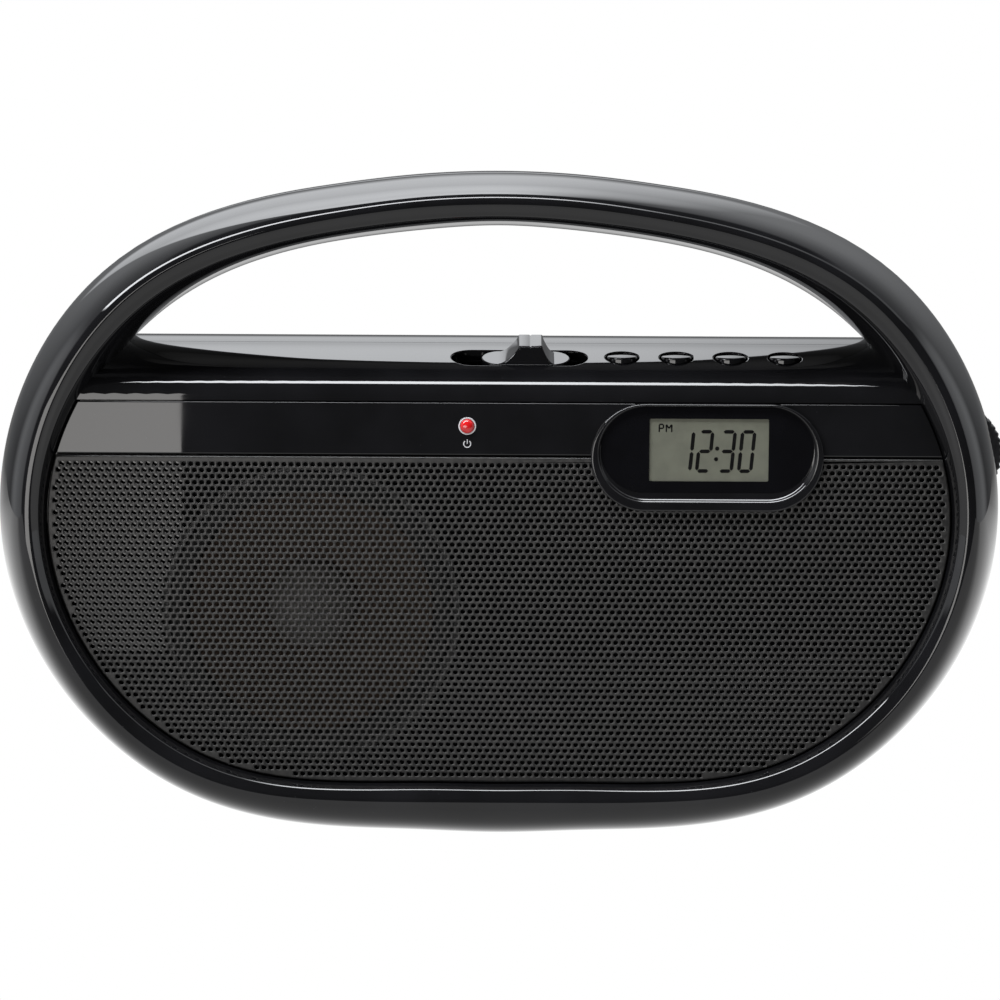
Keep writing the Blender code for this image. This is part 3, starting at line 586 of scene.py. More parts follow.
def deck_half_width(y, z):
    """Where the deck meets the hoop's inner wall, plus a little so that it runs into it."""
    angles = np.radians(np.linspace(0.0, 60.0, 241))
    radii = Hoop(angles).inner(float(y))
    return float(np.interp(z, radii * np.sin(angles), radii * np.cos(angles))) + 2.0


def deck_part(build, y_low, y_high, holes=()):
    """The deck between two depths, with holes whose rims roll over a little."""
    low = 0.0 if y_low <= FACE_Y else float(spot_of(y_low))
    high = float(spot_of(y_high))
    nose, fine, coarse, across = 10.0, 0.3, 0.8, 41
    spots = [*np.arange(low, min(high, nose), fine), *np.arange(max(low, nose), high, coarse), high]
    y, z = deck_at(spots)[:2]
    half = np.array([deck_half_width(b, c) for b, c in zip(y, z)])
    outline = [(w, s) for w, s in zip(half, spots)] + [(-w, s) for w, s in zip(half[::-1], spots[::-1])]
    lip = 0.35
    loops = [hole(lip) for hole in holes]
    plan = [columns(loop[:, 0], spot_of(loop[:, 1])) for loop in loops]
    inner = []
    for s, w in zip(spots[1:-1], half[1:-1]):
        row_points = columns(np.linspace(-w, w, across)[1:-1], s)
        clear = np.ones(across - 2, bool)
        for loop in plan:
            clear &= ~inside((loop - loop.mean(axis=0)) * 1.04 + loop.mean(axis=0), row_points)
        inner += row_points[clear].tolist()
    points, faces = fill(outline, plan, inner)
    y, z, ny, nz = deck_at(points[:, 1])
    build.add(columns(points[:, 0], y, z), columns(0.0, ny, nz), faces)
    for hole in holes:
        rims = [(lip * (1 - math.cos(a)), lip * (1 - math.sin(a))) for a in np.radians(np.linspace(90, 0, 7))]
        rows = []
        for grow, sunk in (*rims, (0.0, WALL)):
            x, y = hole(grow).T
            rows.append(columns(x, y, deck_z(y) - sunk))
        build.sheet(rows)


def slot_outline(grow):
    long, wide = SLOT_X[1] - SLOT_X[0], SLOT_Y[1] - SLOT_Y[0]
    return stadium(sum(SLOT_X) / 2, sum(SLOT_Y) / 2, long + 2 * grow, wide + 2 * grow)


def key_outline(x):
    return lambda grow: circle(x, KEY_Y, KEY_HOLE_R + grow, 64)


def front_shell():
    """Front half of the hoop with the front of the deck, its holes, and the seat behind the face."""
    build = Build()
    build.sheet(level_underside(front_hoop()), loop=True)
    deck_part(build, FACE_Y, PARTING_Y - 0.2, [slot_outline, *(key_outline(x) for x in KEY_X)])
    seat = [(r * math.cos(a), r * math.sin(a)) for r, a in zip(FINE.inner(SEAT_Y) + 1.0, FINE.angles)]
    seat = [(x, min(z, PANEL_TOP_Z + 0.6)) for x, z in seat]
    opening = circle(SPEAKER_X, SPEAKER_Z, SPEAKER_R, 96)
    build.flat(seat, [opening], lambda x, z: (x, SEAT_Y, z), (0, -1, 0))
    build.sheet([stand(opening, SEAT_Y), stand(opening, SEAT_Y + WALL)], flip=True)
    top = Hoop(np.radians([12.0])).inner(FACE_Y)[0] * math.cos(math.radians(12.0))
    build.block((-top, FACE_Y + 0.05, PANEL_TOP_Z), (top, SEAT_Y + 1.0, PANEL_TOP_Z + 1.0))
    build.make("front_shell", "gloss_black", replaces=["front_cabinet"])


# ---------------------------------------------------------------- rear half of the cabinet

# A span that reaches past both sides, and a depth well behind the back.
ACROSS_X = (-140.0, 140.0)
BEHIND_Y = 70.0
BACK = Hoop(np.radians(np.arange(REAR_AROUND) * 360.0 / REAR_AROUND))


def solid(loops, cyclic=False):
    """Closed mesh through loops of equal length, capped at both ends or joined end to end."""
    bm = bmesh.new()
    rows = [[bm.verts.new(tuple(p)) for p in loop] for loop in loops]
    pairs = list(zip(rows, rows[1:]))
    if cyclic:
        pairs.append((rows[-1], rows[0]))
    for a, b in pairs:
        for i in range(len(a)):
            j = (i + 1) % len(a)
            bm.faces.new((a[i], a[j], b[j], b[i]))
    if not cyclic:
        bm.faces.new(rows[0])
        bm.faces.new(rows[-1][::-1])
    bmesh.ops.recalc_face_normals(bm, faces=bm.faces)
    if bm.calc_volume(signed=True) < 0:
        bmesh.ops.reverse_faces(bm, faces=bm.faces)
    mesh = bpy.data.meshes.new("solid")
    bm.to_mesh(mesh)
    bm.free()
    return added("solid", mesh)


def crate(x, y, z):
    return solid([[(x[0], v, z[0]), (x[1], v, z[0]), (x[1], v, z[1]), (x[0], v, z[1])] for v in y])


def prism(profile, x):
    """Extrusion along x of a (y, z) outline."""
    return solid([[(v, p[0], p[1]) for p in profile] for v in x])


def peg(centre, axis, span, radius, count=32):
    """Cylinder along an axis between two positions."""
    return solid(turned([(radius, spot) for spot in span], centre, axis, count))


def combine(base, operation, *tools):
    """Applies one exact Boolean per tool and removes the tools."""
    for tool in tools:
        modifier = base.modifiers.new(operation, "BOOLEAN")
        modifier.operation = operation
        modifier.solver = "EXACT"
        modifier.object = tool
        bpy.context.view_layer.update()
        graph = bpy.context.evaluated_depsgraph_get()
        mesh = bpy.data.meshes.new_from_object(base.evaluated_get(graph))
        base.modifiers.clear()
        base.data = mesh
        bpy.data.objects.remove(tool)
    return base


def cut(base, *tools):
    return combine(base, "DIFFERENCE", *tools)


def join(base, *tools):
    return combine(base, "UNION", *tools)


def keep(base, *tools):
    return combine(base, "INTERSECT", *tools)


def settle(obj, name, look, body="cabinet", replaces=(), sharp=28.0):
    """Turns a drawn solid into a piece, smooth but for the edges sharper than an angle."""
    mesh = obj.data.copy()
    bpy.data.objects.remove(obj)
    points = np.array([tuple(vertex.co) for vertex in mesh.vertices])
    mesh.vertices.foreach_set("co", row(points).ravel().astype(np.float32))
    mesh.shade_smooth()
    mesh.set_sharp_from_angle(angle=math.radians(sharp))
    mesh.update()
    mesh.name = name
    present(mesh, name, look, body, replaces)


def deck_profile(y_low, y_high, drop=0.0):
    """Points of the deck's side view between two depths, moved in by a thickness."""
    spots = np.arange(float(spot_of(y_low)), float(spot_of(y_high)), 1.2)
    y, z, ny, nz = deck_at(spots)
    return list(zip((y - drop * ny).tolist(), (z - drop * nz).tolist()))


def rear_body():
    """Rear roll and flat back, with a rounded seam and blocks behind the groove and the battery bay."""
    h = BACK
    loops = [h.ring(h.girth - 0.3, PARTING_Y + 0.05), h.ring(h.girth - 0.06, PARTING_Y + 0.15)]
    for a in np.radians(np.linspace(1, 90, 24)):
        spread = (h.girth - h.rear) * math.cos(a)
        loops.append(h.ring(h.rear + spread, PARTING_Y + (DEPTH - PARTING_Y) * math.sin(a)))
    loops.append(h.ring(h.rear - 0.7, DEPTH))
    shell = solid(loops)
    cut(shell, rear_hollow(PARTING_Y - 4.0))
    y = (ANTENNA_Y - 6.0, 60.4)
    blocks = crate((GROOVE_X[0], GROOVE_X[1] + 2.2), y, (GROOVE_Z - 6.4, GROOVE_Z + 6.2))
    join(blocks, crate((FOLD_X - 7.0, FOLD_X + 7.0), y, (GROOVE_Z - 14.0, GROOVE_Z + 5.0)))
    join(blocks, crate((BAY_X[0] - 2, BAY_X[1] + 2), (BAY_FLOOR_Y - 2, 60.4), (BAY_Z[0] - 2, BAY_Z[1] + 2)))
    keep(blocks, solid([h.ring(h.outer(v) - 0.8, v) for v in (40.0, 47.0, 52.0, 56.0, 59.0, 61.0)]))
    join(shell, blocks)
    inward = [24.0, 28.0, 36.0, 39.0, 42.0, 45.0, 48.0, 51.0, 53.5, 56.0, 58.0, 59.5, 60.3, 60.5, 61.0]
    inward += [DEPTH, DEPTH + 4]
    gap = solid([h.ring(h.inner(v), v) for v in inward])
    above = [*deck_profile(24.0, 61.9), (DEPTH, 18.5), (DEPTH + 5, 18.5), (DEPTH + 5, 120.0), (24.0, 120.0)]
    return cut(shell, keep(gap, prism(above, ACROSS_X)))


def rear_hollow(end_y):
    """Space inside the rear half: round the hoop, and in front of the back under the deck."""
    h = BACK
    depths = [36.0, 42.0, 47.0, 51.5, 55.0]
    loops = [h.ring(h.outer(PARTING_Y) - WALL, end_y), *(h.ring(h.outer(v) - WALL, v) for v in depths)]
    loops += [*(h.ring(h.inner(v) + WALL, v) for v in depths[::-1]), h.ring(h.inner(PARTING_Y) + WALL, end_y)]
    hollow = solid(loops, cyclic=True)
    back_y = DEPTH - WALL - 0.2
    room = solid([h.ring(h.inner(v) + WALL + 1.0, v) for v in (end_y, 36.0, 42.0, 48.0, 54.0, back_y)])
    below = [*deck_profile(end_y, 58.6, WALL), (back_y, 22.0), (back_y, -100.0), (end_y, -100.0)]
    return join(hollow, keep(room, prism(below, ACROSS_X)))


def rear_openings(shell):
    """Antenna groove, battery bay, wheel slots, sockets, vents and screw holes."""
    top, low = GROOVE_Z + 4.0, GROOVE_Z - 4.1
    floor_y = ANTENNA_Y - 3.8
    swing = [(floor_y, low), (DEPTH + 0.5, low - 8.9), (DEPTH + 0.5, top + 9.0), (floor_y, top)]
    cut(
        shell,
        crate(GROOVE_X, (floor_y, BEHIND_Y), (low, top)),
        prism(swing, (FOLD_X - 4.4, FOLD_X + 4.4)),
        crate(BAY_X, (BAY_FLOOR_Y, BEHIND_Y), BAY_Z),
        crate((DOOR_X[0] - GAP, DOOR_X[1] + GAP), (59.5, BEHIND_Y), (DOOR_Z[0] - GAP, DOOR_Z[1] + GAP)),
        crate((30.0, 38.0), (59.0, BEHIND_Y), (DOOR_Z[0] - 4.5, DOOR_Z[0] + 1.0)),
        crate((INLET[0] - 7.0, INLET[0] + 7.0), (50.0, BEHIND_Y), (INLET[1] - 4.3, INLET[1] + 4.3)),
        peg((JACK[0], 0, JACK[1]), "y", (50.0, BEHIND_Y), 3.2, 48),
    )
    for _, radius, span in WHEELS.values():
        height = (WHEEL_Z - radius - 1.0, WHEEL_Z + radius + 1.0)
        cut(shell, crate((98.0, 130.0), (span[0] - 0.5, span[1] + 0.5), height))
    for k in range(5):
        cut(shell, crate((-62.0, -26.0), (56.0, BEHIND_Y), (-24.0 + 6.0 * k, -22.2 + 6.0 * k)))
    for x, z in SCREWS:
        join(shell, peg((x, 0, z), "y", (33.0, 60.2), 4.6))
        cut(shell, peg((x, 0, z), "y", (38.0, BEHIND_Y), 3.4), peg((x, 0, z), "y", (30.0, 40.0), 1.9))
    return cut(shell, crate((-60.0, 60.0), (-5.0, BEHIND_Y), (-110.0, UNDERSIDE_Z)))


def rear_shell():
    settle(rear_openings(rear_body()), "rear_shell", "gloss_black", replaces=["rear_cabinet"])


def battery_door():
    """Door with a round hinge edge, eased edges and five thumb grooves near its latch."""
    low, high = DOOR_Z
    y0, y1 = DOOR_Y
    r = (y1 - y0) / 2
    ease = 0.35
    outline = [(y0, low), (y1 - ease, low), (y1 - 0.1, low + 0.1), (y1, low + ease), (y1, low + 2 * ease)]
    outline += [(y1, high - r - ease)]
    outline += [(y0 + r + r * math.cos(a), high - r + r * math.sin(a)) for a in np.linspace(0, math.pi, 17)]
    door = prism(outline, DOOR_X)
    for k in range(5):
        cut(door, peg((0, y1 + 0.35, low + 3.5 + 1.8 * k), "x", (24.0, 44.0), 0.85, 24))
    settle(door, "door_plate", "satin_black", body="battery_door", replaces=["battery_door"])


def tube(build, span, outside, within, ease=0.25):
    """Polished tube along x with eased ends."""
    low, high = span
    profile = [(within, low), (outside - ease, low), (outside, low + ease), (outside, low + 3 * ease)]
    profile += [(outside, high - 3 * ease), (outside, high - ease), (outside - ease, high), (within, high)]
    middle = (0, ANTENNA_Y, GROOVE_Z)
    build.sheet(turned(profile, middle, "x", 48))
    build.sheet(turned([(within, low), (within, low + 1.0), (within, high)], middle, "x", 48), flip=True)


def antenna():
    """Telescopic tubes, each inside the one before, the tip with its button, and the tongue and pin at the
    fold.
    """
    y, z = ANTENNA_Y, GROOVE_Z
    fold = (FOLD_X, y, 0)
    first = Build()
    tube(first, (-72.0, 66.6), 2.9, 2.4)
    first.sheet(turned([(2.5, 66.5), (1.4, 66.55), (0.02, 66.6)], (0, y, z), "x", 48))
    first.block((64.0, y - 0.9, z - 0.8), (FOLD_X, y + 0.9, z + 0.8))
    tongue = [(0.02, -0.8), (2.2, -0.8), (2.3, -0.7), (2.3, 0.7), (2.2, 0.8), (0.02, 0.8)]
    pin = [(0.02, -2.4), (0.76, -2.4), (0.76, 2.4), (0.02, 2.4)]
    for profile, count in ((tongue, 40), (pin, 24)):
        first.sheet(turned([(radius, z + lift) for radius, lift in profile], fold, "z", count))
    first.make("antenna_outer", "chrome", body="antenna_tube_1", replaces=["antenna_tube_1"])
    for index, span, outside, within in ((2, (-73.5, 60.0), 2.3, 1.8), (3, (-75.0, 57.0), 1.7, 1.2)):
        build = Build()
        tube(build, span, outside, within)
        node = f"antenna_tube_{index}"
        build.make(f"antenna_inner_{index}", "chrome", body=node, replaces=[node])
    profile = [(0.02, -82.0), (1.7, -82.0), (2.05, -81.7), (2.15, -81.2), (2.3, -79.5), (2.55, -77.4)]
    profile += [(2.4, -77.05), (1.12, -77.0), (1.1, -76.6), (1.1, -75.6), (1.1, 53.0), (1.1, 53.8)]
    profile += [(0.9, 54.0), (0.02, 54.0)]
    lathe("antenna_rod", "chrome", profile, (0, y, z), "x", 40, body="antenna_tip", replaces=["antenna_tip"])


# ---------------------------------------------------------------- face: strip, grille, display, light


def band_outline(inset, z_low, z_high, count=140):
    """Outline of a plate inside the hoop at the face, between two heights, moved in by an inset."""
    angles = np.radians(np.linspace(-90.0, 60.0, 1501))
    radii = Hoop(angles).inner(FACE_Y) - inset
    height = radii * np.sin(angles)
    low = -math.pi / 2 if z_low is None else float(np.interp(z_low, height, angles))
    high = float(np.interp(z_high, height, angles))
    side = np.linspace(low, high, count)
    radii = Hoop(side).inner(FACE_Y) - inset
    right = columns(radii * np.cos(side), radii * np.sin(side))
    left = right[::-1] * (-1, 1)
    if z_low is None:
        left = left[:-1]
    return np.concatenate([right, left])


def folded_edge(outline_at, radius, y_front, y_back, steps=5):
    """Rows from a plate's front over its rounded edge to its back."""
    rows = []
    for k in range(steps + 1):
        a = math.pi / 2 * k / steps
        rows.append(stand(outline_at(radius * (1 - math.sin(a))), y_front + radius * (1 - math.cos(a))))
    rows.append(stand(outline_at(0.0), y_back))
    return rows


def front_panel():
    """Glossy strip above the grille, with the hole for the power light."""
    def outline_at(inset):
        return band_outline(STRIP_FIT + inset, PANEL_SPLIT_Z + inset, PANEL_TOP_Z - STRIP_FIT - inset)

    radius, ease = 0.3, 0.15
    build = Build()
    light = circle(LED_X, LED_Z, LED_HOLE_R + ease, 48)
    bore = circle(LED_X, LED_Z, LED_HOLE_R, 48)
    build.flat(outline_at(radius), [light], lambda x, z: (x, FACE_Y, z), (0, -1, 0))
    build.sheet(folded_edge(outline_at, radius, FACE_Y, SEAT_Y - GAP))
    build.sheet([stand(light, FACE_Y), stand(bore, FACE_Y + ease)], flip=True)
    build.sheet([stand(bore, y) for y in (FACE_Y + ease, SEAT_Y)], flip=True)
    build.make("panel_strip", "gloss_black", replaces=["front_panel"])


def behind_bezel(points):
    """Which (x, z) points the display's bezel hides, with a margin."""
    overlap = 3.2
    return inside(stadium(BEZEL[0], BEZEL[1], BEZEL[2] - overlap, BEZEL[3] - overlap), points)


def grille_cells(outline, margin_outline):
    """Middles of the grille's holes, clear of the margin and the bezel, and their places in the pattern."""
    low, high = outline.min(axis=0), outline.max(axis=0)
    cells = []
    top = high[1] - 0.9 - HOLE_R
    for j in range(int((high[1] - low[1]) / HOLE_ROW) + 1):
        shift = HOLE_PITCH / 2 if j % 2 else 0.0
        for i in range(-70, 71):
            cells.append((i * HOLE_PITCH + shift, top - j * HOLE_ROW, 2 * i + j % 2, j))
    cells = np.array(cells)
    keep = inside(margin_outline, cells[:, :2])
    return cells[keep & ~behind_bezel(cells[:, :2])]


def speaker_grille():
    """Pressed steel sheet with punched holes and a folded rim."""
    top = PANEL_SPLIT_Z - 0.5
    radius = 0.45

    def outline_at(inset):
        return band_outline(GRILLE_FIT + inset, None, top - inset)

    edge = outline_at(radius)
    cells = grille_cells(edge, outline_at(radius + 0.75))
    build = Build()
    turn = np.radians(np.arange(8) * 45.0)
    reach = np.round(columns(np.cos(turn), np.sin(turn)), 6)
    corner = np.sign(np.round(reach, 3)) * (HOLE_PITCH / 2, HOLE_ROW / 2)
    hole = reach * HOLE_R
    # Each cell has three rings of eight points: its outline, the hole's edge and the hole's back.
    rings = []
    for offsets, y in ((corner, FACE_Y), (hole, FACE_Y), (hole, FACE_Y + 0.6)):
        flat = cells[:, None, :2] + offsets
        rings.append(columns(flat[..., 0], y, flat[..., 1]))
    ahead = np.array([0, -1.0, 0])
    inward = columns(-reach[:, 0], 0.0, -reach[:, 1])
    facing = np.stack([np.tile(ahead, (8, 1)), unit(inward * 0.6 + ahead), inward])
    normals = np.tile(facing.reshape(-1, 3), (len(cells), 1))
    faces = []
    for base in range(0, 24 * len(cells), 24):
        for k in range(8):
            m = (k + 1) % 8
            for near, far in ((base, base + 8), (base + 8, base + 16)):
                faces.append((near + k, near + m, far + m, far + k))
    build.add(np.stack(rings, axis=1).reshape(-1, 3), normals, faces)
    grille_border(build, edge, cells)
    build.sheet(folded_edge(outline_at, radius, FACE_Y, SEAT_Y - GAP))
    build.make("grille_sheet", "grille_black", replaces=["speaker_grille"])


def grille_border(build, edge, cells):
    """Plain metal between the outermost holes and the rim."""
    where = {(int(c[2]), int(c[3])): c[:2] for c in cells}
    spots, index = [Vector(p) for p in edge], {}
    edges = [(k, (k + 1) % len(edge)) for k in range(len(edge))]

    def vertex(u, v, point):
        if (u, v) not in index:
            index[(u, v)] = len(spots)
            spots.append(Vector(point))
        return index[(u, v)]

    # A cell's corners and edge middles, in half pitches from its middle.
    ring = [(1, 0), (1, 1), (0, 1), (-1, 1), (-1, 0), (-1, -1), (0, -1), (1, -1)]
    beyond = {0: (2, 0), 1: (1, -1), 2: (-1, -1), 3: (-2, 0), 4: (-2, 0), 5: (-1, 1), 6: (1, 1), 7: (2, 0)}
    for (i, j), middle in where.items():
        for k in range(8):
            di, dj = beyond[k]
            if (i + di, j + dj) in where:
                continue
            a, b = ring[k], ring[(k + 1) % 8]
            ends = []
            for u, v in (a, b):
                point = (middle[0] + u * HOLE_PITCH / 2, middle[1] + v * HOLE_ROW / 2)
                ends.append(vertex(i + u, -2 * j + v, point))
            edges.append(tuple(ends))
    points, faces, centres = triangles(spots, edges)
    wanted = inside(edge, centres) & ~behind_bezel(centres)
    first = cells[0]
    row_index = np.round((first[1] + first[3] * HOLE_ROW - centres[:, 1]) / HOLE_ROW).astype(int)
    for k in np.flatnonzero(wanted):
        j = int(row_index[k])
        i = 2 * int(round((centres[k, 0] - (HOLE_PITCH / 2 if j % 2 else 0.0)) / HOLE_PITCH)) + j % 2
        wanted[k] = (i, j) not in where
    build.add(stand(points, FACE_Y), (0, -1, 0), faces[wanted].tolist())


def display_bezel():
    """Oval frame: a proud rim whose inner slope runs down to the window."""
    x, z, w, h = BEZEL
    # Stadiums from the back edge outwards and in again, as (width, height, middle z, y).
    outer = [(w, h, z, FACE_Y + 0.3), (w, h, z, 6.1)]
    for a in np.radians([20, 40, 60, 80, 90]):
        drop = 0.5 * (1 - math.cos(a))
        outer.append((w - 2 * drop, h - 2 * drop, z, 6.1 - 0.5 * math.sin(a)))
    lip = [
        (53.4, 23.9, 10.25, 5.6), (52.9, 23.5, 10.32, 5.64), (52.5, 23.1, 10.4, 5.85),
        (52.1, 22.7, 10.46, 6.15), (51.8, 22.35, 10.56, 6.42), (51.6, 22.05, 10.64, 6.52),
        (51.45, 21.85, 10.7, 6.55), (51.3, 20.9, 11.15, 6.57), (51.2, 20.4, 11.4, 6.6),
        (51.0, 20.2, 11.4, 7.2),
    ]  # fmt: skip
    build = Build()
    build.sheet([stand(stadium(x, c, a, b, 40), y) for a, b, c, y in outer + lip])
    build.make("bezel_rim", "gloss_black", replaces=["display_bezel"])


def display_lens():
    """Smoked window with a clear opening over the clock."""
    x, z, w, h = WINDOW
    y = 6.5
    lcd = rounded(LCD[0], LCD[1], LCD[2], LCD[3], 0.4)
    build = Build()
    outline = stadium(x, z, w - 0.1, h - 0.1, 40)
    build.flat(outline, [lcd], lambda a, b: (a, y, b), (0, -1, 0))
    build.sheet([stand(outline, y), stand(outline, y + 1.2)])
    build.sheet([stand(lcd, y), stand(lcd, y + 0.35)], flip=True)
    build.make("window_glass", "window", replaces=["display_lens"])


SEGMENTS = {"1": "bc", "2": "abged", "3": "abgcd", "0": "abcdef"}
DIGIT_W, DIGIT_H, DIGIT_T, DIGIT_LEAN = 3.75, 10.4, 0.85, 0.09
# The letters P and M, each by its left edge and its strokes end to end.
LETTERS = [
    (38.4, [(0, 0), (0, 1.9), (1.0, 1.9), (1.0, 0.95), (0, 0.95)]),
    (40.1, [(0, 0), (0, 1.9), (0.65, 0.9), (1.3, 1.9), (1.3, 0)]),
]
LETTER_Z = 15.6
LETTER_T = 0.34
# The time: each digit by its left edge, and the colon by its x and the heights of its dots.
DIGITS = [("1", 42.95), ("2", 47.5), ("3", 52.9), ("0", 57.6)]
COLON = (51.85, (3.3, 5.9))


def bar(start, end, thick):
    """Six-sided segment bar between two points."""
    start, end = np.array(start, float), np.array(end, float)
    along = unit(end - start)
    side = np.array([-along[1], along[0]]) * thick / 2
    tip = along * thick / 2
    return [start, start + tip + side, end - tip + side, end, end - tip - side, start + tip - side]


def digit_bars(char):
    """Bars of one seven-segment digit, from its lower left corner."""
    w, h, gap = DIGIT_W - DIGIT_T, DIGIT_H - DIGIT_T, 0.12
    ends = {
        "a": ((gap, h), (w - gap, h)),
        "b": ((w, h - gap), (w, h / 2 + gap)),
        "c": ((w, h / 2 - gap), (w, gap)),
        "d": ((gap, 0), (w - gap, 0)),
        "e": ((0, h / 2 - gap), (0, gap)),
        "f": ((0, h - gap), (0, h / 2 + gap)),
        "g": ((gap, h / 2), (w - gap, h / 2)),
    }
    return [bar(*ends[name], DIGIT_T) for name in SEGMENTS[char]]


def clock_face():
    """Liquid crystal glass with the time on it."""
    y = 6.85
    face = Build()
    outline = rounded(LCD[0], LCD[1], LCD[2] + 1.0, LCD[3] + 1.0, 0.4)
    face.flat(outline, [], lambda a, b: (a, y, b), (0, -1, 0))
    face.sheet([stand(outline, y), stand(outline, y + 1.0)])
    face.make("lcd_glass", "lcd", replaces=["lcd_module"])
    shapes = []
    base = LCD[1] - 5.15 - 0.35
    for char, left in DIGITS:
        for shape in digit_bars(char):
            shapes.append([(left + p[0] + DIGIT_LEAN * p[1], base + DIGIT_T / 2 + p[1]) for p in shape])
    for height in COLON[1]:
        shapes.append(circle(COLON[0] + DIGIT_LEAN * height, base + height, 0.5, 12).tolist())
    for left, path in LETTERS:
        for start, end in zip(path, path[1:]):
            shapes.append(bar(np.add(start, (left, LETTER_Z)), np.add(end, (left, LETTER_Z)), LETTER_T))
    digits = Build()
    for shape in shapes:
        shape = np.array(shape)
        digits.add(stand(shape, y - 0.04), (0, -1, 0), [tuple(range(len(shape)))])
        digits.sheet([stand(shape, y - 0.04), stand(shape, y + 0.02)])
    digits.make("lcd_digits", "ink")


def power_light():
    """Red dome in a thin bright ring, and a plain power symbol under it."""
    middle = (LED_X, 0, LED_Z)
    radius, shoulder, rise = 1.7, 6.95, 1.1
    dome = [(radius, 9.0), (radius, shoulder)]
    for a in np.radians(np.arange(10, 90, 8)):
        dome.append((radius * math.cos(a), shoulder - rise * math.sin(a)))
    dome.append((0.02, shoulder - rise))
    lathe("power_lens", "red_lens", dome, middle, "y", 48, replaces=["power_light"])
    rim = [(2.12, 7.2), (2.12, 6.98), (2.04, 6.9), (1.82, 6.9), (1.76, 6.98), (1.76, 7.6)]
    lathe("power_ring", "print", rim, middle, "y", 48)
    symbol = Build()
    turn = np.radians(np.linspace(128, 412, 40))
    cx, cz, r, thick = LED_X, LED_Z - 4.3, 0.85, 0.11
    outside = [(cx + (r + thick) * math.cos(a), cz + (r + thick) * math.sin(a)) for a in turn]
    within = [(cx + (r - thick) * math.cos(a), cz + (r - thick) * math.sin(a)) for a in turn[::-1]]
    stroke = [(cx - thick, cz), (cx + thick, cz), (cx + thick, cz + 1.1), (cx - thick, cz + 1.1)]
    for shape in (outside + within, stroke):
        symbol.flat(shape, [], lambda a, b: (a, FACE_Y - 0.02, b), (0, -1, 0))
    symbol.make("power_symbol", "print")


# ---------------------------------------------------------------- deck controls


def keys():
    """Four domed keys, each on its own body."""
    for k, x in enumerate(KEY_X):
        proud, edge, dish = 0.55, 0.6, 0.2
        top = float(deck_z(KEY_Y)) + proud
        profile = [(3.0, 24.4), (3.0, 28.4), (KEY_R, 28.4), (KEY_R, top - dish - edge)]
        profile += arc((KEY_R - edge, top - dish - edge), edge, 12, 78)
        profile += [(r, top - dish * (r / (KEY_R - edge)) ** 2) for r in np.linspace(KEY_R - edge, 0.02, 9)]
        node = f"key_{k + 1}"
        place = (x, KEY_Y, 0)
        lathe(f"key_cap_{k + 1}", "gloss_black", profile, place, "z", 64, body=node, replaces=[node])


def function_lever():
    """Plate that runs in the slot, with a finger ridge whose flanks curve up to a flat tip."""
    y0, y1 = SLOT_Y[0] + LEVER_CLEARANCE, SLOT_Y[1] - LEVER_CLEARANCE
    rise = float(deck_z(y1) - deck_z(y0)) / (y1 - y0)
    sunk = 0.35
    base = float(deck_z(y0)) - sunk
    middle = (sum(LEVER_X) / 2, sum(SLOT_Y) / 2)
    build = Build()

    def at(x, y, lift):
        return (x, y, base + rise * (y - y0) + lift)

    def layer(shrink, lift):
        plan = stadium(*middle, LEVER_X[1] - LEVER_X[0] - 2 * shrink, y1 - y0 - 2 * shrink, 20)
        return [at(x, y, lift) for x, y in plan]

    build.sheet([layer(0, -2.4), layer(0, 0.1), layer(0.07, 0.27), layer(0.25, 0.35)])
    plan = stadium(*middle, LEVER_X[1] - LEVER_X[0] - 0.5, y1 - y0 - 0.5, 20)
    build.flat(plan, [], lambda x, y: at(x, y, 0.35), unit(np.array([0, -rise, 1.0])))
    foot, tip, height = (-1.2, 13.6), (4.5, 10.4), 4.7

    def section(shrink):
        """Front view of the ridge: concave flanks, rounded top corners and the index groove."""
        low, high, corner = 0.3, height - shrink, 0.4
        climb = np.linspace(0.0, 1.0, 17)
        lift = low + (high - 0.5 - low) * climb**2.1
        turn = np.radians([0, 25, 50, 75, 90])
        sides = []
        for foot_x, tip_x, side in ((foot[1], tip[1], 1), (foot[0], tip[0], -1)):
            flank = columns(tip_x - side * shrink + (foot_x - tip_x) * (1 - climb), lift)
            across = tip_x - side * (shrink + corner - corner * np.cos(turn))
            top = columns(across, high - corner + corner * np.sin(turn))
            sides.append(np.concatenate([flank, top]))
        groove = [(7.75, high), (7.45, high - 0.3), (7.15, high)]
        return np.concatenate([sides[0], groove, sides[1][::-1]])

    depths = [(y0 + 0.1, 0.35), (y0 + 0.2, 0.12), (y0 + 0.45, 0.0)]
    depths += [(y1 - 0.9, 0.0), (y1 - 0.6, 0.12), (y1 - 0.5, 0.35)]
    rows = [[at(x, y, lift) for x, lift in section(shrink)] for y, shrink in depths]
    build.sheet(rows)
    for row_points, facing in ((rows[0], -1), (rows[-1], 1)):
        outline = [(p[0], p[2]) for p in row_points]
        build.flat(outline, [], lambda a, b, y=row_points[0][1]: (a, y, b), (0, facing, 0))
    build.block((5.2, 17.4, 24.3), (9.6, 20.6, 30.4))
    build.make("lever_cap", "gloss_black", body="lever", replaces=["function_lever"])


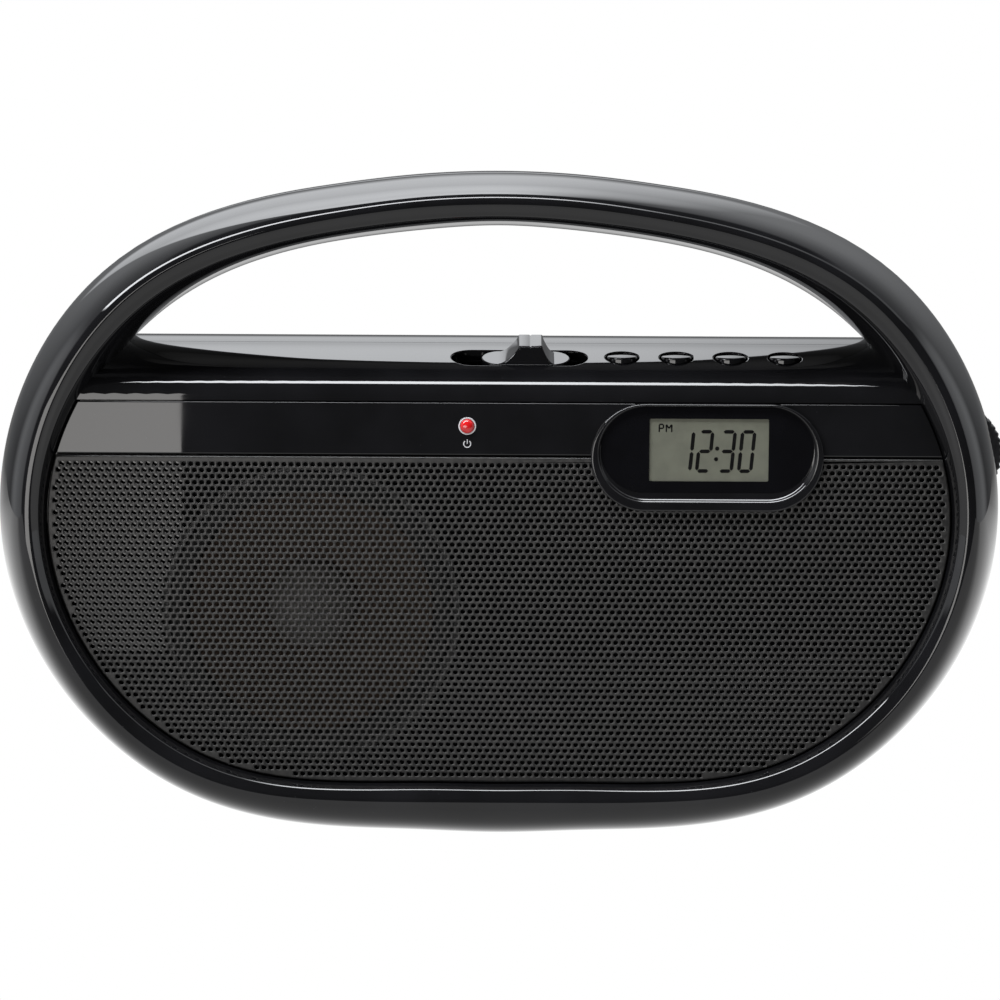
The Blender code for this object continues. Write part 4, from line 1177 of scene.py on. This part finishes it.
def thumbwheels():
    """Fluted wheels with chamfered rims."""
    for name, (x, radius, span) in WHEELS.items():
        teeth, per_tooth, bore = 44, 8, 2.03
        turn = 2 * np.pi * np.arange(teeth * per_tooth) / (teeth * per_tooth)
        flute = 0.2 * (1 - np.cos(turn * teeth))
        chamfer = [(0.0, 0.9), (0.0, 0.45), (0.15, 0.12), (0.45, 0.0), (1.0, 0.0)]
        rows = [(span[0], bore)]
        rows += [(span[0] + y, radius - flute - shrink) for y, shrink in chamfer]
        rows += [(span[1] - y, radius - flute - shrink) for y, shrink in chamfer[::-1]]
        rows.append((span[1], bore))
        build = Build()
        grid = [columns(x + r * np.cos(turn), y, WHEEL_Z + r * np.sin(turn)) for y, r in rows]
        build.sheet(grid, loop=True)
        build.make(f"{name}_knob", "satin_black", body=f"{name}_wheel", replaces=[f"{name}_wheel"])


# ---------------------------------------------------------------- floor, light and camera

CAMERA_DISTANCE = 0.9765
CAMERA_PITCH = 9.24
CAMERA_ROLL = 0.3
LENS = 147.0


def camera():
    data = bpy.data.cameras.new("camera")
    data.lens = LENS
    data.sensor_width = 36.0
    data.clip_start = 0.05
    obj = added("camera", data)
    aim = Vector(row((0.25, 0.0, 0.0)).tolist())
    tilt = Matrix.Rotation(math.radians(90 - CAMERA_PITCH), 4, "X")
    turn = tilt @ Matrix.Rotation(math.radians(CAMERA_ROLL), 4, "Z")
    obj.matrix_world = Matrix.Translation(aim + turn.to_3x3() @ Vector((0, 0, CAMERA_DISTANCE))) @ turn
    bpy.context.scene.camera = obj


CARD_SIZE = (0.9, 0.5)
CARD_GLOW = 4.5


def card():
    """Bright card at the front left, which shows in the left end of the glossy strip."""
    data = bpy.data.lights.new("card", "AREA")
    data.shape = "RECTANGLE"
    data.size, data.size_y = CARD_SIZE
    data.energy = CARD_GLOW * math.pi * CARD_SIZE[0] * CARD_SIZE[1]
    data.color = (1.0, 0.98, 0.96)
    obj = added("card", data)
    place, aim = Vector((-0.595, -1.0, -0.02)), Vector((-0.3, 0.0, 0.1))
    away = (place - aim).normalized()
    upright = away.cross(Vector((1, 0, 0))).normalized()
    turn = Matrix((upright.cross(away), upright, away)).transposed()
    obj.matrix_world = Matrix.Translation(place) @ turn.to_4x4()
    obj.visible_camera = False


# The studio in the object's reflections, by direction. GLOW is the brightness of the big softbox behind
# at heights given as the sine of the elevation, and ROOM_GLOW that of the grey room beside it.
GLOW = [
    (0.0, 0.13), (0.09, 0.16), (0.135, 0.9), (0.3, 1.2), (0.45, 2.2), (0.64, 3.4), (0.74, 4.8), (0.85, 6.5)
]  # fmt: skip
GLOW_FULL = 8.0
ROOM_GLOW = [(0.0, 0.12), (0.1, 0.2), (0.35, 0.45), (0.5, 0.5)]
# Brightness of the floor at distances back from its front edge.
FLOOR_FADE = [(0.20, 0.75), (0.28, 1.5), (0.50, 1.3), (0.72, 0.55), (1.0, 0.18)]
FLOOR_FRONT_Y = -0.25
SIDE_GLOW = 0.9
STRIP_GLOW = 20.0
# How the strip overhead fades to the right: (its sideways slope, brightness).
STRIP_FADE = [(0.0, 1.0), (0.1, 0.8), (0.25, 0.12), (0.7, 0.05)]
BASE_GLOW = 0.05


# Edges of the softbox, the room, the side walls and the strip: from the first value, where there is none
# of it, to the second, where there is all.
BOX_LEFT, BOX_RIGHT, BOX_FRONT, BOX_TOP = (-0.39, -0.34), (0.28, -0.02), (0.0, 0.1), (0.865, 0.85)
ROOM_FRONT, ROOM_TOP = (-0.21, -0.19), (0.86, 0.76)
SIDE_NEAR, SIDE_TOP, SIDE_FRONT = (0.75, 0.95), (0.55, 0.40), (-0.34, -0.28)
STRIP_FRONT, STRIP_BACK = (-0.44, -0.40), (-0.185, -0.195)
STRIP_LOW, STRIP_LEFT = (0.48, 0.52), (-1.45, -1.35)


class Directions:
    """Small sums on a direction of the world, or on a place on an object, as shader nodes."""

    def __init__(self, tree, kind="Generated"):
        self.tree = tree
        place = shade(tree, "TexCoord").outputs[kind]
        split = shade(tree, "SeparateXYZ", Vector=place)
        self.x, self.y, self.z = (split.outputs[axis] for axis in "XYZ")

    def math(self, operation, *values):
        node = self.tree.nodes.new("ShaderNodeMath")
        node.operation = operation
        for socket, value in zip(node.inputs, values):
            connect(socket, value)
        return node.outputs["Value"]

    def times(self, first, *others):
        """Product of sockets or numbers."""
        for other in others:
            first = self.math("MULTIPLY", first, other)
        return first

    def step(self, value, edge):
        """Smooth rise from 0 to 1 between the two values of an edge."""
        node = shade(self.tree, "MapRange", Value=value, From_Min=edge[0], From_Max=edge[1])
        node.interpolation_type = "SMOOTHSTEP"
        return node.outputs["Result"]

    def ramp(self, value, points, full):
        """Piecewise curve through (value, brightness) points, of which none is brighter than full."""
        node = shade(self.tree, "ValToRGB", Fac=value)
        stops = node.color_ramp.elements
        stops[0].position, stops[-1].position = points[0][0], points[-1][0]
        for point in points[1:-1]:
            stops.new(point[0])
        for stop, point in zip(stops, points):
            stop.color = (*[point[1] / full] * 3, 1)
        return self.math("MULTIPLY", node.outputs["Color"], full)


def world():
    """The studio's softbox, strip and grey room, and plain white to the camera."""
    made = bpy.data.worlds.new("studio")
    bpy.context.scene.world = made
    made.use_nodes = True
    tree = made.node_tree
    tree.nodes.clear()
    d = Directions(tree)
    slant = d.math("DIVIDE", d.x, d.math("MAXIMUM", d.y, 0.02))
    box = d.times(d.step(slant, BOX_LEFT), d.step(slant, BOX_RIGHT))
    box = d.times(box, d.step(d.y, BOX_FRONT), d.step(d.z, BOX_TOP))
    overhead = d.times(d.ramp(d.z, GLOW, GLOW_FULL), box)
    grey = d.times(d.step(d.y, ROOM_FRONT), d.step(d.z, ROOM_TOP), d.ramp(d.z, ROOM_GLOW, 1.0))
    sides = d.times(d.step(d.math("ABSOLUTE", d.x), SIDE_NEAR), d.step(d.z, SIDE_TOP))
    sides = d.times(sides, d.step(d.y, SIDE_FRONT), SIDE_GLOW)
    room = d.math("ADD", d.math("MAXIMUM", overhead, grey), sides)
    across = d.math("DIVIDE", d.x, d.math("MAXIMUM", d.z, 0.02))
    band = d.times(d.step(d.y, STRIP_FRONT), d.step(d.y, STRIP_BACK), d.step(d.z, STRIP_LOW))
    reach = d.times(d.step(across, STRIP_LEFT), d.ramp(across, STRIP_FADE, 1.0))
    glow = d.math("ADD", room, d.times(band, reach, STRIP_GLOW))
    glow = d.math("ADD", glow, BASE_GLOW)
    studio = shade(tree, "Background", Color=(0.95, 0.97, 1.0, 1), Strength=glow)
    white = shade(tree, "Background", Color=(1, 1, 1, 1))
    shade(tree, "OutputWorld", Surface=by_camera(tree, studio, white))


def by_camera(tree, elsewhere, seen):
    """One shader in reflections and lighting, and another where the camera looks straight at it."""
    ray = shade(tree, "LightPath").outputs["Is Camera Ray"]
    mix = shade(tree, "MixShader")
    for socket, value in zip(mix.inputs, (ray, elsewhere.outputs[0], seen.outputs[0])):
        connect(socket, value)
    return mix.outputs[0]


def floor():
    """White floor, overexposed as the camera sees it and dimmer in the object's reflections."""
    mesh = bpy.data.meshes.new("floor")
    corners = [(-0.6, FLOOR_FRONT_Y, 0.0), (0.6, FLOOR_FRONT_Y, 0.0), (0.6, 1.6, 0.0), (-0.6, 1.6, 0.0)]
    mesh.from_pydata(corners, [], [(0, 1, 2, 3)])
    obj = added("floor", mesh)
    made = bpy.data.materials.new("look_floor")
    made.use_nodes = True
    tree = made.node_tree
    tree.nodes.clear()
    d = Directions(tree, "Object")
    glow = d.ramp(d.math("SUBTRACT", d.y, FLOOR_FRONT_Y), FLOOR_FADE, 2.0)
    dim = shade(tree, "Emission", Strength=glow)
    shade(tree, "OutputMaterial", Surface=by_camera(tree, dim, shade(tree, "Emission")))
    mesh.materials.append(made)


# ---------------------------------------------------------------- the scene

bpy.context.scene.view_settings.view_transform = "Standard"
camera()
card()
world()
floor()
dress_cad_nodes()
front_shell()
front_panel()
speaker_grille()
display_bezel()
display_lens()
clock_face()
power_light()
keys()
function_lever()
thumbwheels()
rear_shell()
battery_door()
antenna()

bpy.context.view_layer.update()
